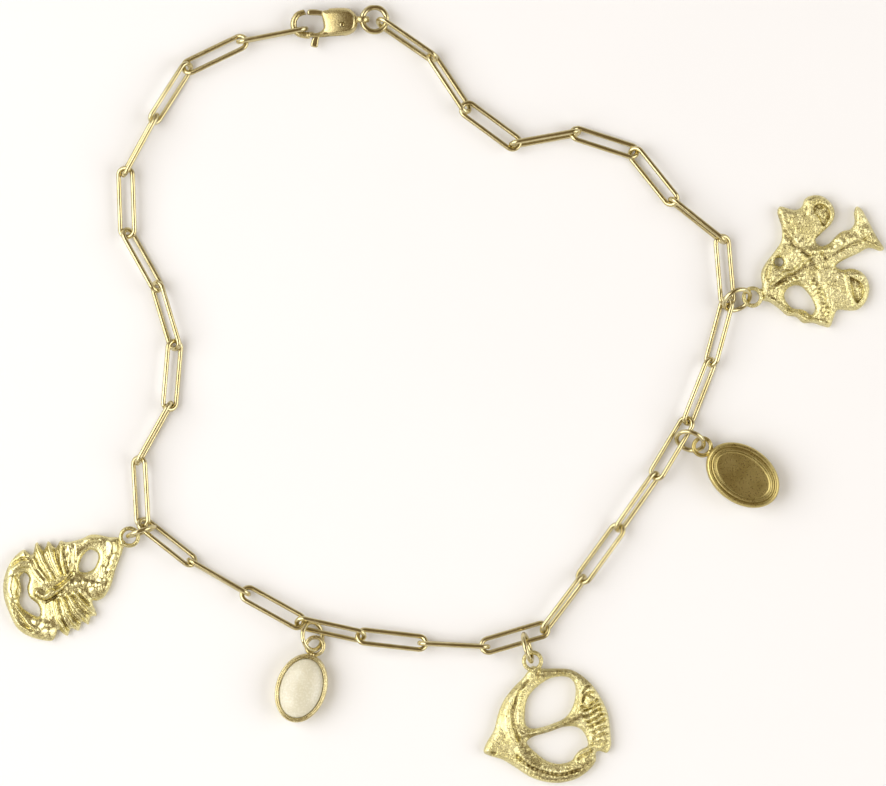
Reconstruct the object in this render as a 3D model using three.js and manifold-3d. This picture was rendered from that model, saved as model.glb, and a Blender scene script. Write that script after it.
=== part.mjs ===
// A charm bracelet, lying as a closed loop on a flat surface: a chain of long oval links, a lobster
// clasp with a sprung lever, three cast shell charms, an oval cabochon in a plain rim and a second
// oval charm lying face down, each charm on a jump ring. Millimetres, +Z up.
import * as THREE from 'three';
import Module from 'manifold-3d';
import { mergeVertices } from 'three/addons/utils/BufferGeometryUtils.js';

const wasm = await Module();
wasm.setup();

// Driving dimensions, in millimetres and degrees.
const LINK = { length: 7.38, width: 1.92, wire: 0.42, sides: 6, endSteps: 6 };
const JUMP_RING = { outer: 3.25, wire: 0.46, sides: 6, steps: 14 };
const END_RING = { outer: 3.0, wire: 0.5, sides: 6, steps: 14 };
const CHARM_LOOP = { outer: 2.15, wire: 0.42, sides: 6, steps: 14, height: 0.95 };
const SOLDER_OVERLAP = 0.15;
const RUNNING_GAP = 0.15;

const CLASP = {
  square: 10,
  thickness: 1.9,
  bevel: 0.42,
  rod: 0.64,
  leverThickness: 0.5,
  pin: 0.52,
  pinRecess: 0.05,
  tailRadius: 0.58,
  tailWire: 0.36,
};

const CABOCHON = { length: 7.0, width: 5.1, wall: 0.45, height: 1.8, floor: 0.5, dome: 2.6, foot: 0.2 };
const TURNED_OVAL = { length: 8.0, width: 5.7, wall: 0.5, height: 1.75, floor: 0.5, dome: 2.15, foot: 0.3 };
const RIM_LIP = 0.15;
const GIRDLE_BELOW_RIM = 0.35;
const STONE_CHAMFER = 0.1;
const OVAL_STEPS = 28;

const SHELL_CELL_SHARE = 0.052;
const LEFT_SHELL_SIZE = { square: 10, thickness: 1.3 };
const BOTTOM_SHELL_SIZE = { square: 10, thickness: 1.3 };
const RIGHT_SHELL_SIZE = { square: 10, thickness: 1.35 };

// The chain's route: where each joint between two links lies, from the clasp's hook round the loop to
// the end ring, and how far the link that leads to it is rolled about its own length. A positive roll
// lifts the rail on the inner side of the loop. Columns: x, y, roll.
const CHAIN_ROUTE = [
  [-14.15, 36.35, 0],
  [-20.00, 35.20, 90],
  [-25.65, 32.50, 22],
  [-28.85, 27.45, -50],
  [-31.75, 22.15, 80],
  [-31.55, 15.95, 10],
  [-28.60, 10.65, -50],
  [-26.84, 4.80, 46],
  [-27.35, -1.25, -28],
  [-30.40, -6.77, 98],
  [-30.05, -13.00, 34],
  [-25.15, -16.85, -42],
  [-19.71, -19.97, 85],
  [-14.30, -22.95, -12],
  [-8.20, -24.30, 45],
  [-2.03, -25.02, -22],
  [4.20, -25.35, 90],
  [10.15, -23.60, -12],
  [13.90, -18.60, 66],
  [17.60, -13.50, -30],
  [21.25, -8.25, 59],
  [24.50, -2.80, -26],
  [26.80, 3.10, 50],
  [28.45, 9.20, -42],
  [27.90, 15.30, 23],
  [23.00, 19.20, 101],
  [19.10, 24.10, -29],
  [13.20, 26.00, 34],
  [7.20, 24.90, 104],
  [2.30, 28.50, 6],
  [-1.05, 33.55, 58],
  [-6.20, 37.10, -62],
];

// How high two of the joints are held, where a jump ring passes beneath the link between them.
const RAISED_JOINTS = { 13: 1.27, 14: 1.27 };

// Where each jump ring hangs: its middle, the heading of its level diameter, and its lean from upright.
// Columns: x, y, z, heading, lean.
const JUMP_RING_POSES = {
  left_shell_jump_ring: [-30.15, -13.85, 1.65, 19, 5],
  cabochon_jump_ring: [-13.05, -24.3, 1.22, 97, 43],
  bottom_shell_jump_ring: [8.45, -25.45, 1.62, -74, -9],
  turned_oval_jump_ring: [24.7, -4.8, 1.3, -20, 39],
  right_shell_jump_ring: [29.4, 9.3, 1.33, 29, 40],
};

// Where the clasp's pin stands, and where each oval charm lies with its turn about the vertical.
const CLASP_PLACE = { x: -10.1, y: 36.8 };
const END_RING_PLACE = { x: -6.85, y: 37.35, z: 0.95, tilt: 3 };
const CABOCHON_PLACE = { x: -14.17, y: -29.5, turn: 72 };
const TURNED_OVAL_PLACE = { x: 29.95, y: -8.2, turn: 145 };

// Where the middle of each shell charm's loop lies. The loop's root is where it is soldered on, as shares
// of the charm's drawing square, and its heading is the way that it stands out from there.
const LEFT_SHELL_PLACE = { x: -31.35, y: -14.4, root: [1.235, 1.03], heading: 41 };
const BOTTOM_SHELL_PLACE = { x: 8.95, y: -26.8, root: [0.53, 1.148], heading: 93 };
const RIGHT_SHELL_PLACE = { x: 30.95, y: 9.6, root: [0.051, 0.442], heading: 214.5 };

const YELLOW_GOLD = { color: 0xd8c878, roughness: 0.22, metalness: 1 };
const SATIN_GOLD = { color: 0xa89050, roughness: 0.4, metalness: 1 };
const PALE_STONE = { color: 0xe6dfcb, roughness: 0.12, metalness: 0 };

// The clasp's outlines, as shares of its drawing square, measured from the pin.
const CLASP_BODY = [
  [-0.205, 0.05], [-0.195, -0.02], [-0.21, -0.05], [-0.25, -0.07], [-0.34, -0.072], [-0.345, -0.13],
  [-0.26, -0.135], [-0.17, -0.13], [-0.07, -0.12], [0.03, -0.11], [0.1, -0.085], [0.145, -0.04],
  [0.158, 0.03], [0.143, 0.1], [0.09, 0.155], [0.03, 0.172], [-0.07, 0.172], [-0.16, 0.16],
  [-0.21, 0.14], [-0.215, 0.1],
];
const CLASP_HOOK = [
  [-0.31, -0.103], [-0.36, -0.103], [-0.43, -0.085], [-0.475, -0.04], [-0.483, 0.03], [-0.455, 0.09],
  [-0.41, 0.12], [-0.375, 0.128],
];
const CLASP_LEVER = [
  [0.06, 0], [0.04, 0.05], [-0.02, 0.06], [-0.1, 0.085], [-0.2, 0.145], [-0.33, 0.155],
  [-0.34, 0.1], [-0.21, 0.09], [-0.13, 0.03], [-0.07, -0.01], [-0.13, -0.035], [-0.25, -0.08],
  [-0.3, -0.13], [-0.31, -0.215], [-0.265, -0.215], [-0.245, -0.14], [-0.21, -0.105],
  [-0.12, -0.08], [-0.05, -0.065], [0.03, -0.052],
];
const CLASP_SLOT = [
  [0.075, 0], [0.05, 0.065], [-0.02, 0.08], [-0.1, 0.12], [-0.16, 0.19], [-0.4, 0.19],
  [-0.3, 0], [-0.23, -0.055], [-0.315, -0.085], [-0.33, -0.16], [-0.2, -0.3], [-0.05, -0.2],
  [0.045, -0.07],
];
const CLASP_TAIL_CENTRE = [0.2, 0.055];

// The shell charms: outline, pierced gaps, and relief as rows of path, width and rise. Places and widths
// are shares of the charm's drawing square, and a rise is a share of its thickness.
const LEFT_SHELL = {
  outline: [
    [1.255, 1.04], [1.19, 1.085], [1.1, 1.09], [0.98, 1.115], [0.9, 1.11], [0.84, 1.08], [0.78, 1.05],
    [0.7, 1.05], [0.62, 1.05], [0.58, 1.01], [0.53, 1.0], [0.48, 1.035], [0.45, 1.0], [0.42, 0.99],
    [0.38, 1.02], [0.35, 1.0], [0.34, 0.94], [0.31, 0.92], [0.25, 0.955], [0.18, 0.92], [0.12, 0.85],
    [0.07, 0.75], [0.04, 0.62], [0.05, 0.47], [0.1, 0.33], [0.17, 0.19], [0.27, 0.11], [0.4, 0.065],
    [0.52, 0.05], [0.56, 0.09], [0.59, 0.165], [0.63, 0.13], [0.68, 0.105], [0.72, 0.15],
    [0.78, 0.155], [0.81, 0.22], [0.87, 0.21], [0.91, 0.27], [0.97, 0.3], [0.96, 0.36], [0.93, 0.45],
    [0.99, 0.455], [1.06, 0.5], [1.12, 0.61], [1.16, 0.75], [1.21, 0.88], [1.24, 0.97],
  ],
  gaps: [
    [[0.9, 0.96], [0.97, 0.94], [0.99, 0.88], [0.95, 0.78], [0.88, 0.74], [0.81, 0.745], [0.8, 0.8],
      [0.83, 0.89]],
    [[0.25, 0.73], [0.3, 0.68], [0.28, 0.59], [0.3, 0.49], [0.38, 0.42], [0.41, 0.35], [0.39, 0.295],
      [0.3, 0.335], [0.22, 0.4], [0.205, 0.47], [0.22, 0.57], [0.205, 0.68]],
  ],
  relief: [
    { path: [[0.39, 0.53], [0.55, 0.54], [0.75, 0.62], [0.9, 0.6], [1.05, 0.67], [1.17, 0.95]],
      width: 0.14, rise: 0.3 },
    { path: [[0.33, 0.87], [0.2, 0.8], [0.11, 0.7], [0.1, 0.57], [0.14, 0.36]], width: 0.13, rise: 0.25 },
    { path: [[0.39, 0.98], [0.45, 0.68]], width: 0.09, rise: 0.2 },
    { path: [[0.48, 1.0], [0.545, 0.66]], width: 0.09, rise: 0.2 },
    { path: [[0.6, 1.0], [0.61, 0.68]], width: 0.09, rise: 0.2 },
    { path: [[0.7, 1.0], [0.68, 0.68]], width: 0.09, rise: 0.2 },
    { path: [[0.6, 0.47], [0.67, 0.14]], width: 0.09, rise: 0.2 },
    { path: [[0.67, 0.48], [0.76, 0.18]], width: 0.09, rise: 0.2 },
    { path: [[0.74, 0.5], [0.86, 0.24]], width: 0.09, rise: 0.2 },
    { path: [[0.8, 0.52], [0.94, 0.33]], width: 0.09, rise: 0.2 },
  ],
};

const BOTTOM_SHELL = {
  outline: [
    [0.53, 1.19], [0.63, 1.165], [0.77, 1.165], [0.9, 1.155], [1.01, 1.1], [1.13, 0.99], [1.22, 0.85],
    [1.28, 0.71], [1.305, 0.53], [1.31, 0.39], [1.27, 0.32], [1.2, 0.34], [1.16, 0.32], [1.155, 0.23],
    [1.07, 0.13], [0.95, 0.055], [0.8, 0.02], [0.65, 0.03], [0.5, 0.08], [0.36, 0.17], [0.23, 0.25],
    [0.1, 0.29], [0.035, 0.33], [0.07, 0.43], [0.14, 0.55], [0.18, 0.71], [0.24, 0.85], [0.34, 0.98],
    [0.43, 1.07], [0.48, 1.14],
  ],
  gaps: [
    [[0.82, 1.085], [0.91, 1.06], [0.955, 0.97], [0.94, 0.82], [0.86, 0.68], [0.72, 0.61],
      [0.56, 0.565], [0.465, 0.59], [0.45, 0.71], [0.475, 0.86], [0.56, 0.97], [0.69, 1.06]],
    [[0.96, 0.58], [1.04, 0.52], [1.08, 0.4], [1.0, 0.35], [0.955, 0.3], [0.91, 0.24], [0.79, 0.21],
      [0.67, 0.24], [0.55, 0.33], [0.47, 0.42], [0.53, 0.48], [0.68, 0.525], [0.84, 0.58]],
  ],
  relief: [
    { path: [[0.5, 1.07], [0.33, 0.87], [0.27, 0.67], [0.25, 0.45]], width: 0.12, rise: 0.3 },
    { path: [[0.25, 0.42], [0.08, 0.34]], width: 0.14, rise: 0.2 },
    { path: [[0.42, 0.5], [0.65, 0.57], [0.85, 0.64], [1.02, 0.74]], width: 0.1, rise: 0.25 },
    { path: [[0.36, 0.27], [0.55, 0.14], [0.8, 0.1], [1.05, 0.2]], width: 0.14, rise: 0.25 },
    { path: [[0.6, 1.12], [0.8, 1.13], [0.95, 1.09], [1.01, 0.95]], width: 0.1, rise: 0.25 },
    { path: [[1.02, 0.88], [1.19, 0.84]], width: 0.09, rise: 0.2 },
    { path: [[1.03, 0.77], [1.24, 0.73]], width: 0.09, rise: 0.2 },
    { path: [[1.07, 0.65], [1.26, 0.61]], width: 0.09, rise: 0.2 },
    { path: [[1.13, 0.53], [1.28, 0.49]], width: 0.09, rise: 0.2 },
  ],
};

const RIGHT_SHELL = {
  outline: [
    [0.06, 0.44], [0.07, 0.51], [0.06, 0.62], [0.1, 0.72], [0.2, 0.85], [0.265, 0.96], [0.265, 1.09],
    [0.225, 1.23], [0.25, 1.295], [0.32, 1.28], [0.4, 1.26], [0.465, 1.29], [0.5, 1.37], [0.57, 1.405],
    [0.67, 1.4], [0.76, 1.33], [0.8, 1.23], [0.77, 1.13], [0.67, 1.03], [0.605, 0.96], [0.65, 0.9],
    [0.74, 0.925], [0.81, 1.0], [0.88, 1.05], [0.95, 1.065], [0.995, 1.13], [0.99, 1.23],
    [1.015, 1.295], [1.07, 1.265], [1.14, 1.14], [1.22, 0.99], [1.29, 0.88], [1.25, 0.85],
    [1.14, 0.88], [1.02, 0.82], [0.89, 0.76], [0.81, 0.7], [0.87, 0.665], [0.97, 0.675], [1.08, 0.63],
    [1.145, 0.51], [1.12, 0.36], [1.03, 0.265], [0.93, 0.255], [0.83, 0.26], [0.79, 0.19],
    [0.75, 0.09], [0.67, 0.1], [0.58, 0.13], [0.48, 0.13], [0.41, 0.19], [0.32, 0.205], [0.23, 0.28],
    [0.14, 0.34], [0.07, 0.36],
  ],
  gaps: [
    [[0.283, 0.74], [0.27, 0.77], [0.24, 0.783], [0.21, 0.77], [0.197, 0.74], [0.21, 0.71],
      [0.24, 0.697], [0.27, 0.71]],
    [[0.36, 0.495], [0.45, 0.5], [0.52, 0.44], [0.58, 0.35], [0.6, 0.27], [0.56, 0.215], [0.48, 0.265],
      [0.38, 0.28], [0.31, 0.35], [0.3, 0.43]],
  ],
  relief: [
    { path: [[0.15, 0.5], [0.3, 0.6], [0.42, 0.67], [0.5, 0.77]], width: 0.1, rise: 0.3 },
    { path: [[0.26, 1.23], [0.31, 1.0], [0.2, 0.86], [0.12, 0.7]], width: 0.1, rise: 0.2 },
    { path: [[0.55, 0.84], [0.75, 0.84], [0.9, 0.9], [1.05, 1.0], [1.1, 1.1]], width: 0.12, rise: 0.3 },
    { path: [[0.6, 0.55], [0.63, 0.4], [0.68, 0.25], [0.72, 0.16]], width: 0.1, rise: 0.25 },
    { path: [[0.12, 0.38], [0.28, 0.26], [0.45, 0.19], [0.66, 0.15]], width: 0.09, rise: 0.2 },
    { path: [[0.66, 1.26], [0.68, 1.2]], width: 0.24, rise: -0.4 },
    { path: [[1.0, 0.55], [1.02, 0.45], [1.01, 0.38]], width: 0.18, rise: -0.4 },
  ],
};

// Rows of x and y become points, as shares of a length.
function flatPoints(rows, unit) {
  return rows.map(([x, y]) => new THREE.Vector2(x * unit, y * unit));
}

// A closed tube of round wire along a closed path in the XY plane that runs counterclockwise.
function closedWire(path, wire, sides) {
  const positions = [];
  const index = [];
  const count = path.length;
  path.forEach((point, i) => {
    const before = path[(i + count - 1) % count];
    const after = path[(i + 1) % count];
    const along = after.clone().sub(before).normalize();
    for (let j = 0; j < sides; j += 1) {
      const turn = ((j + 0.5) / sides) * 2 * Math.PI;
      const inward = (Math.cos(turn) * wire) / 2;
      const up = (Math.sin(turn) * wire) / 2;
      positions.push(point.x - along.y * inward, point.y + along.x * inward, up);
      const next = ((i + 1) % count) * sides;
      const here = i * sides;
      const side = (j + 1) % sides;
      index.push(here + j, here + side, next + side, here + j, next + side, next + j);
    }
  });
  const geometry = new THREE.BufferGeometry();
  geometry.setAttribute('position', new THREE.Float32BufferAttribute(positions, 3));
  geometry.setIndex(index);
  return geometry;
}

// The middle line of a long oval: two half circles joined by straight rails.
function linkPath(length, width, steps) {
  const radius = width / 2;
  const reach = length / 2 - radius;
  const path = [];
  for (const side of [1, -1]) {
    for (let k = 0; k <= steps; k += 1) {
      const turn = (side === 1 ? -Math.PI / 2 : Math.PI / 2) + (k / steps) * Math.PI;
      path.push(new THREE.Vector2(side * reach + radius * Math.cos(turn), radius * Math.sin(turn)));
    }
  }
  return path;
}

function roundPath(radius, steps) {
  const path = [];
  for (let k = 0; k < steps; k += 1) {
    const turn = (k / steps) * 2 * Math.PI;
    path.push(new THREE.Vector2(radius * Math.cos(turn), radius * Math.sin(turn)));
  }
  return path;
}

function ringGeometry({ outer, wire, sides, steps }) {
  return closedWire(roundPath((outer - wire) / 2, steps), wire, sides);
}

// A solid turned about a vertical axis on an oval plan. Each row of the profile is an inset from the
// outer edge and a height; the first and last rows are closed across the middle.
function ovalSolid(profile, length, width, steps) {
  const positions = [];
  const index = [];
  profile.forEach(([inset, z]) => {
    for (let k = 0; k < steps; k += 1) {
      const turn = (k / steps) * 2 * Math.PI;
      positions.push((length / 2 - inset) * Math.cos(turn), (width / 2 - inset) * Math.sin(turn), z);
    }
  });
  for (let row = 0; row + 1 < profile.length; row += 1) {
    for (let k = 0; k < steps; k += 1) {
      const a = row * steps + k;
      const b = row * steps + ((k + 1) % steps);
      index.push(a, b, b + steps, a, b + steps, a + steps);
    }
  }
  const first = positions.length / 3;
  positions.push(0, 0, profile[0][1], 0, 0, profile[profile.length - 1][1]);
  const lastRow = (profile.length - 1) * steps;
  for (let k = 0; k < steps; k += 1) {
    const next = (k + 1) % steps;
    index.push(first, next, k, first + 1, lastRow + k, lastRow + next);
  }
  const geometry = new THREE.BufferGeometry();
  geometry.setAttribute('position', new THREE.Float32BufferAttribute(positions, 3));
  geometry.setIndex(index);
  return geometry;
}

// Distance from a point to the nearest side of any of the closed outlines, positive in the metal.
function depthInside(x, y, outlines) {
  let nearest = Infinity;
  let inside = false;
  for (const outline of outlines) {
    for (let i = 0; i < outline.length; i += 1) {
      const a = outline[i];
      const b = outline[(i + 1) % outline.length];
      nearest = Math.min(nearest, distanceToStretch(x, y, a, b));
      if ((a.y > y) !== (b.y > y) && x < a.x + ((y - a.y) / (b.y - a.y)) * (b.x - a.x)) {
        inside = !inside;
      }
    }
  }
  return inside ? nearest : -nearest;
}

function distanceToStretch(x, y, a, b) {
  const dx = b.x - a.x;
  const dy = b.y - a.y;
  const share = ((x - a.x) * dx + (y - a.y) * dy) / (dx * dx + dy * dy || 1);
  const t = Math.min(1, Math.max(0, share));
  return Math.hypot(x - a.x - t * dx, y - a.y - t * dy);
}

// A closed smooth curve through the points of an outline, as a fine polygon.
function smoothOutline(points) {
  const finePerPoint = 4;
  const curve = new THREE.CatmullRomCurve3(
    points.map((p) => new THREE.Vector3(p.x, p.y, 0)), true, 'centripetal');
  return curve.getPoints(points.length * finePerPoint).slice(0, -1);
}

// How far the relief stands above or below the plain face at a point.
function reliefRise(x, y, rows) {
  let raised = 0;
  let sunk = 0;
  for (const row of rows) {
    let nearest = Infinity;
    for (let i = 0; i + 1 < row.path.length; i += 1) {
      nearest = Math.min(nearest, distanceToStretch(x, y, row.path[i], row.path[i + 1]));
    }
    const share = nearest / (row.width / 2);
    if (share < 1) {
      const height = row.rise * (1 - share * share) ** 2;
      raised = Math.max(raised, height);
      sunk = Math.min(sunk, height);
    }
  }
  return raised + sunk;
}

// A cast plate: a grid clipped to the outline, with a top and an underside that meet along the edge.
function castPlate(shell, size, cell) {
  const { square, thickness } = size;
  const outlines = [shell.outline, ...shell.gaps].map((rows) => smoothOutline(flatPoints(rows, square)));
  const relief = shell.relief.map((row) => ({
    path: flatPoints(row.path, square), width: row.width * square, rise: row.rise * thickness,
  }));
  const plain = 0.75 * thickness;
  const middle = 0.4 * thickness;
  const edge = 0.4 * thickness;
  const swell = 0.12 * thickness;
  const swellReach = 0.15 * square;
  const box = new THREE.Box2().setFromPoints(outlines[0].map((p) => new THREE.Vector2(p.x, p.y)));
  const columns = Math.ceil((box.max.x - box.min.x) / cell) + 2;
  const rows = Math.ceil((box.max.y - box.min.y) / cell) + 2;
  const placeX = (i) => box.min.x + (i - 0.5) * cell;
  const placeY = (j) => box.min.y + (j - 0.5) * cell;

  const depth = [];
  for (let j = 0; j <= rows; j += 1) {
    depth.push([]);
    for (let i = 0; i <= columns; i += 1) {
      depth[j].push(depthInside(placeX(i), placeY(j), outlines));
    }
  }

  const positions = [];
  const index = [];
  const made = new Map();
  const vertex = (key, x, y, z) => {
    if (!made.has(key)) {
      made.set(key, positions.length / 3);
      positions.push(x, y, z);
    }
    return made.get(key);
  };
  const rounding = (d) => Math.sqrt(1 - (1 - Math.min(1, d / edge)) ** 2);
  const face = (i, j, top) => {
    const x = placeX(i);
    const y = placeY(j);
    const d = depth[j][i];
    const domed = plain + swell * Math.min(1, d / swellReach) + reliefRise(x, y, relief);
    const z = top ? middle + (domed - middle) * rounding(d) : middle * (1 - rounding(d));
    return vertex(`${i},${j},${top}`, x, y, z);
  };
  const crossing = (i, j, across) => {
    const ends = across ? [depth[j][i], depth[j][i + 1]] : [depth[j][i], depth[j + 1][i]];
    const share = Math.min(0.85, Math.max(0.15, ends[0] / (ends[0] - ends[1])));
    const x = placeX(i + (across ? share : 0));
    const y = placeY(j + (across ? 0 : share));
    return vertex(`${i},${j},${across ? 'across' : 'up'}`, x, y, middle);
  };
  const fill = (polygon) => {
    const start = polygon.findIndex((item) => item.corner);
    const turned = [...polygon.slice(start), ...polygon.slice(0, start)];
    for (const top of [true, false]) {
      const ids = turned.map((item) => (item.corner ? face(...item.corner, top) : item.edge()));
      for (let k = 1; k + 1 < ids.length; k += 1) {
        index.push(ids[0], ids[top ? k : k + 1], ids[top ? k + 1 : k]);
      }
    }
  };

  for (let j = 0; j < rows; j += 1) {
    for (let i = 0; i < columns; i += 1) {
      const corners = [[i, j], [i + 1, j], [i + 1, j + 1], [i, j + 1]];
      const within = corners.map(([a, b]) => depth[b][a] > 0);
      const edges = [
        { edge: () => crossing(i, j, true) },
        { edge: () => crossing(i + 1, j, false) },
        { edge: () => crossing(i, j + 1, true) },
        { edge: () => crossing(i, j, false) },
      ];
      const polygon = [];
      for (let k = 0; k < 4; k += 1) {
        if (within[k]) polygon.push({ corner: corners[k] });
        if (within[k] !== within[(k + 1) % 4]) polygon.push(edges[k]);
      }
      const saddle = polygon.length === 6;
      if (saddle && depthInside(placeX(i + 0.5), placeY(j + 0.5), outlines) <= 0) {
        for (let k = 0; k < 4; k += 1) {
          if (within[k]) fill([edges[(k + 3) % 4], { corner: corners[k] }, edges[k]]);
        }
      } else if (polygon.length > 2) {
        fill(polygon);
      }
    }
  }
  const geometry = new THREE.BufferGeometry();
  geometry.setAttribute('position', new THREE.Float32BufferAttribute(positions, 3));
  geometry.setIndex(index);
  return geometry;
}

// Between three.js geometry and solids that can be joined and cut.
function toSolid(geometry) {
  const bare = geometry.clone();
  bare.deleteAttribute('normal');
  bare.deleteAttribute('uv');
  const merged = mergeVertices(bare, 1e-5);
  return new wasm.Manifold(new wasm.Mesh({
    numProp: 3,
    vertProperties: Float32Array.from(merged.attributes.position.array),
    triVerts: Uint32Array.from(merged.index.array),
  }));
}

function toGeometry(solid) {
  const mesh = solid.getMesh();
  const geometry = new THREE.BufferGeometry();
  geometry.setAttribute('position', new THREE.BufferAttribute(mesh.vertProperties, 3));
  geometry.setIndex(new THREE.BufferAttribute(mesh.triVerts, 1));
  return geometry;
}

function joined(geometries) {
  return toGeometry(geometries.map(toSolid).reduce((all, solid) => all.add(solid)));
}

// A flat plate with straight sides, its faces at the two heights.
function plate(points, low, high, holes = []) {
  const shape = new THREE.Shape(points);
  shape.holes = holes.map((hole) => new THREE.Path(hole));
  const geometry = new THREE.ExtrudeGeometry(shape, { depth: high - low, bevelEnabled: false });
  geometry.translate(0, 0, low);
  return geometry;
}

// The charm's soldered loop, lying level round the point given.
function soldered(x, y) {
  const geometry = ringGeometry(CHARM_LOOP);
  geometry.translate(x, y, CHARM_LOOP.height);
  return geometry;
}

const bracelet = new THREE.Group();

function addPiece(name, geometry, finish, parent = bracelet) {
  const mesh = new THREE.Mesh(geometry, new THREE.MeshStandardMaterial(finish));
  mesh.name = name;
  parent.add(mesh);
  return mesh;
}

// How high a link's middle line lies over the surface when its lower rail rests there.
function restingHeight(roll) {
  const railReach = (LINK.width - LINK.wire) / 2;
  return railReach * Math.abs(Math.sin(THREE.MathUtils.degToRad(roll))) + LINK.wire / 2;
}

function addChain() {
  const path = linkPath(LINK.length - LINK.wire, LINK.width - LINK.wire, LINK.endSteps);
  const last = CHAIN_ROUTE.length - 1;
  const heights = CHAIN_ROUTE.map(([, , roll], i) => {
    if (i === 0 || i === last) return CLASP.thickness / 2;
    return RAISED_JOINTS[i] ?? Math.max(restingHeight(roll), restingHeight(CHAIN_ROUTE[i + 1][2]));
  });
  for (let i = 1; i <= last; i += 1) {
    const [x0, y0] = CHAIN_ROUTE[i - 1];
    const [x1, y1, roll] = CHAIN_ROUTE[i];
    const from = new THREE.Vector3(x0, y0, heights[i - 1]);
    const to = new THREE.Vector3(x1, y1, heights[i]);
    const along = to.clone().sub(from).normalize();
    const inner = new THREE.Vector3(0, 0, 1).cross(along).normalize();
    const up = along.clone().cross(inner);
    const name = `link_${String(i).padStart(2, '0')}`;
    const link = addPiece(name, closedWire(path, LINK.wire, LINK.sides), YELLOW_GOLD);
    link.quaternion.setFromRotationMatrix(new THREE.Matrix4().makeBasis(along, inner, up));
    link.rotateX(THREE.MathUtils.degToRad(roll));
    link.position.copy(from).add(to).multiplyScalar(0.5);
  }
}

function addJumpRings() {
  for (const [name, [x, y, z, heading, lean]] of Object.entries(JUMP_RING_POSES)) {
    const ring = addPiece(name, ringGeometry(JUMP_RING), YELLOW_GOLD);
    ring.rotation.set(THREE.MathUtils.degToRad(90 - lean), 0, THREE.MathUtils.degToRad(heading), 'ZYX');
    ring.position.set(x, y, z);
  }
  const endRing = addPiece('end_ring', ringGeometry(END_RING), YELLOW_GOLD);
  endRing.rotation.y = THREE.MathUtils.degToRad(END_RING_PLACE.tilt);
  endRing.position.set(END_RING_PLACE.x, END_RING_PLACE.y, END_RING_PLACE.z);
}

// The hook: a round rod bent in the clasp's middle plane.
function hookGeometry() {
  const steps = 14;
  const sides = 8;
  const route = CLASP_HOOK.map(([x, y]) => (
    new THREE.Vector3(x * CLASP.square, y * CLASP.square, CLASP.thickness / 2)));
  const section = new THREE.Shape(roundPath(CLASP.rod / 2, sides));
  const curve = new THREE.CatmullRomCurve3(route, false, 'centripetal');
  return new THREE.ExtrudeGeometry(section, { steps, extrudePath: curve, bevelEnabled: false });
}

function addClasp() {
  const clasp = new THREE.Group();
  clasp.position.set(CLASP_PLACE.x, CLASP_PLACE.y, 0);
  bracelet.add(clasp);
  const middle = CLASP.thickness / 2;
  const boreRadius = CLASP.pin / 2 + RUNNING_GAP;
  const slotHalf = CLASP.leverThickness / 2 + RUNNING_GAP;

  const bodyShape = new THREE.Shape(flatPoints(CLASP_BODY, CLASP.square));
  const block = new THREE.ExtrudeGeometry(bodyShape, {
    depth: CLASP.thickness - 2 * CLASP.bevel,
    bevelThickness: CLASP.bevel,
    bevelSize: CLASP.bevel * 0.6,
    bevelOffset: -CLASP.bevel * 0.6,
    bevelSegments: 2,
  });
  block.translate(0, 0, CLASP.bevel);
  const tail = ringGeometry({
    outer: 2 * CLASP.tailRadius + CLASP.tailWire, wire: CLASP.tailWire, sides: 6, steps: 12,
  });
  tail.rotateX(Math.PI / 2);
  tail.translate(CLASP_TAIL_CENTRE[0] * CLASP.square, CLASP_TAIL_CENTRE[1] * CLASP.square, middle);
  const slot = plate(flatPoints(CLASP_SLOT, CLASP.square), middle - slotHalf, middle + slotHalf);
  const bore = plate(roundPath(boreRadius, 16), -1, CLASP.thickness + 1);
  const body = toSolid(block)
    .subtract(toSolid(slot))
    .add(toSolid(hookGeometry()))
    .add(toSolid(tail))
    .subtract(toSolid(bore))
    .simplify(0.01);
  addPiece('clasp_body', toGeometry(body), YELLOW_GOLD, clasp);

  const lever = plate(
    flatPoints(CLASP_LEVER, CLASP.square), middle - CLASP.leverThickness / 2,
    middle + CLASP.leverThickness / 2, [roundPath(boreRadius, 16)]);
  addPiece('clasp_lever', lever, YELLOW_GOLD, clasp);

  const pin = plate(
    roundPath(CLASP.pin / 2, 12), CLASP.pinRecess, CLASP.thickness - CLASP.pinRecess);
  addPiece('clasp_pin', pin, YELLOW_GOLD, clasp);
}

// A cabochon setting: a flat floor, an upright wall with a rounded lip, and a soldered loop at one end.
function settingGeometry({ length, width, wall, height, floor, foot }) {
  const cup = ovalSolid([
    [foot, 0],
    [0, foot],
    [0, height - RIM_LIP],
    [RIM_LIP * 0.4, height - RIM_LIP * 0.3],
    [wall * 0.5, height],
    [wall, height - RIM_LIP],
    [wall, floor],
  ], length, width, OVAL_STEPS);
  const loopPlace = length / 2 + CHARM_LOOP.outer / 2 - SOLDER_OVERLAP;
  return joined([cup, soldered(loopPlace, 0)]);
}

// The stone: a flat base, a short girdle and a dome in steps.
function cabochonGeometry({ length, width, wall, height, floor, dome }) {
  const seat = wall + RUNNING_GAP;
  const base = floor + RUNNING_GAP;
  const girdle = height - GIRDLE_BELOW_RIM;
  const profile = [[seat + STONE_CHAMFER, base], [seat, base + STONE_CHAMFER], [seat, girdle]];
  const domeSteps = 5;
  const reach = width / 2 - seat;
  for (let k = 1; k < domeSteps; k += 1) {
    const turn = (k / domeSteps) * (Math.PI / 2);
    profile.push([seat + reach * (1 - Math.cos(turn)), girdle + (dome - girdle) * Math.sin(turn)]);
  }
  return ovalSolid(profile, length, width, OVAL_STEPS);
}

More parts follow.
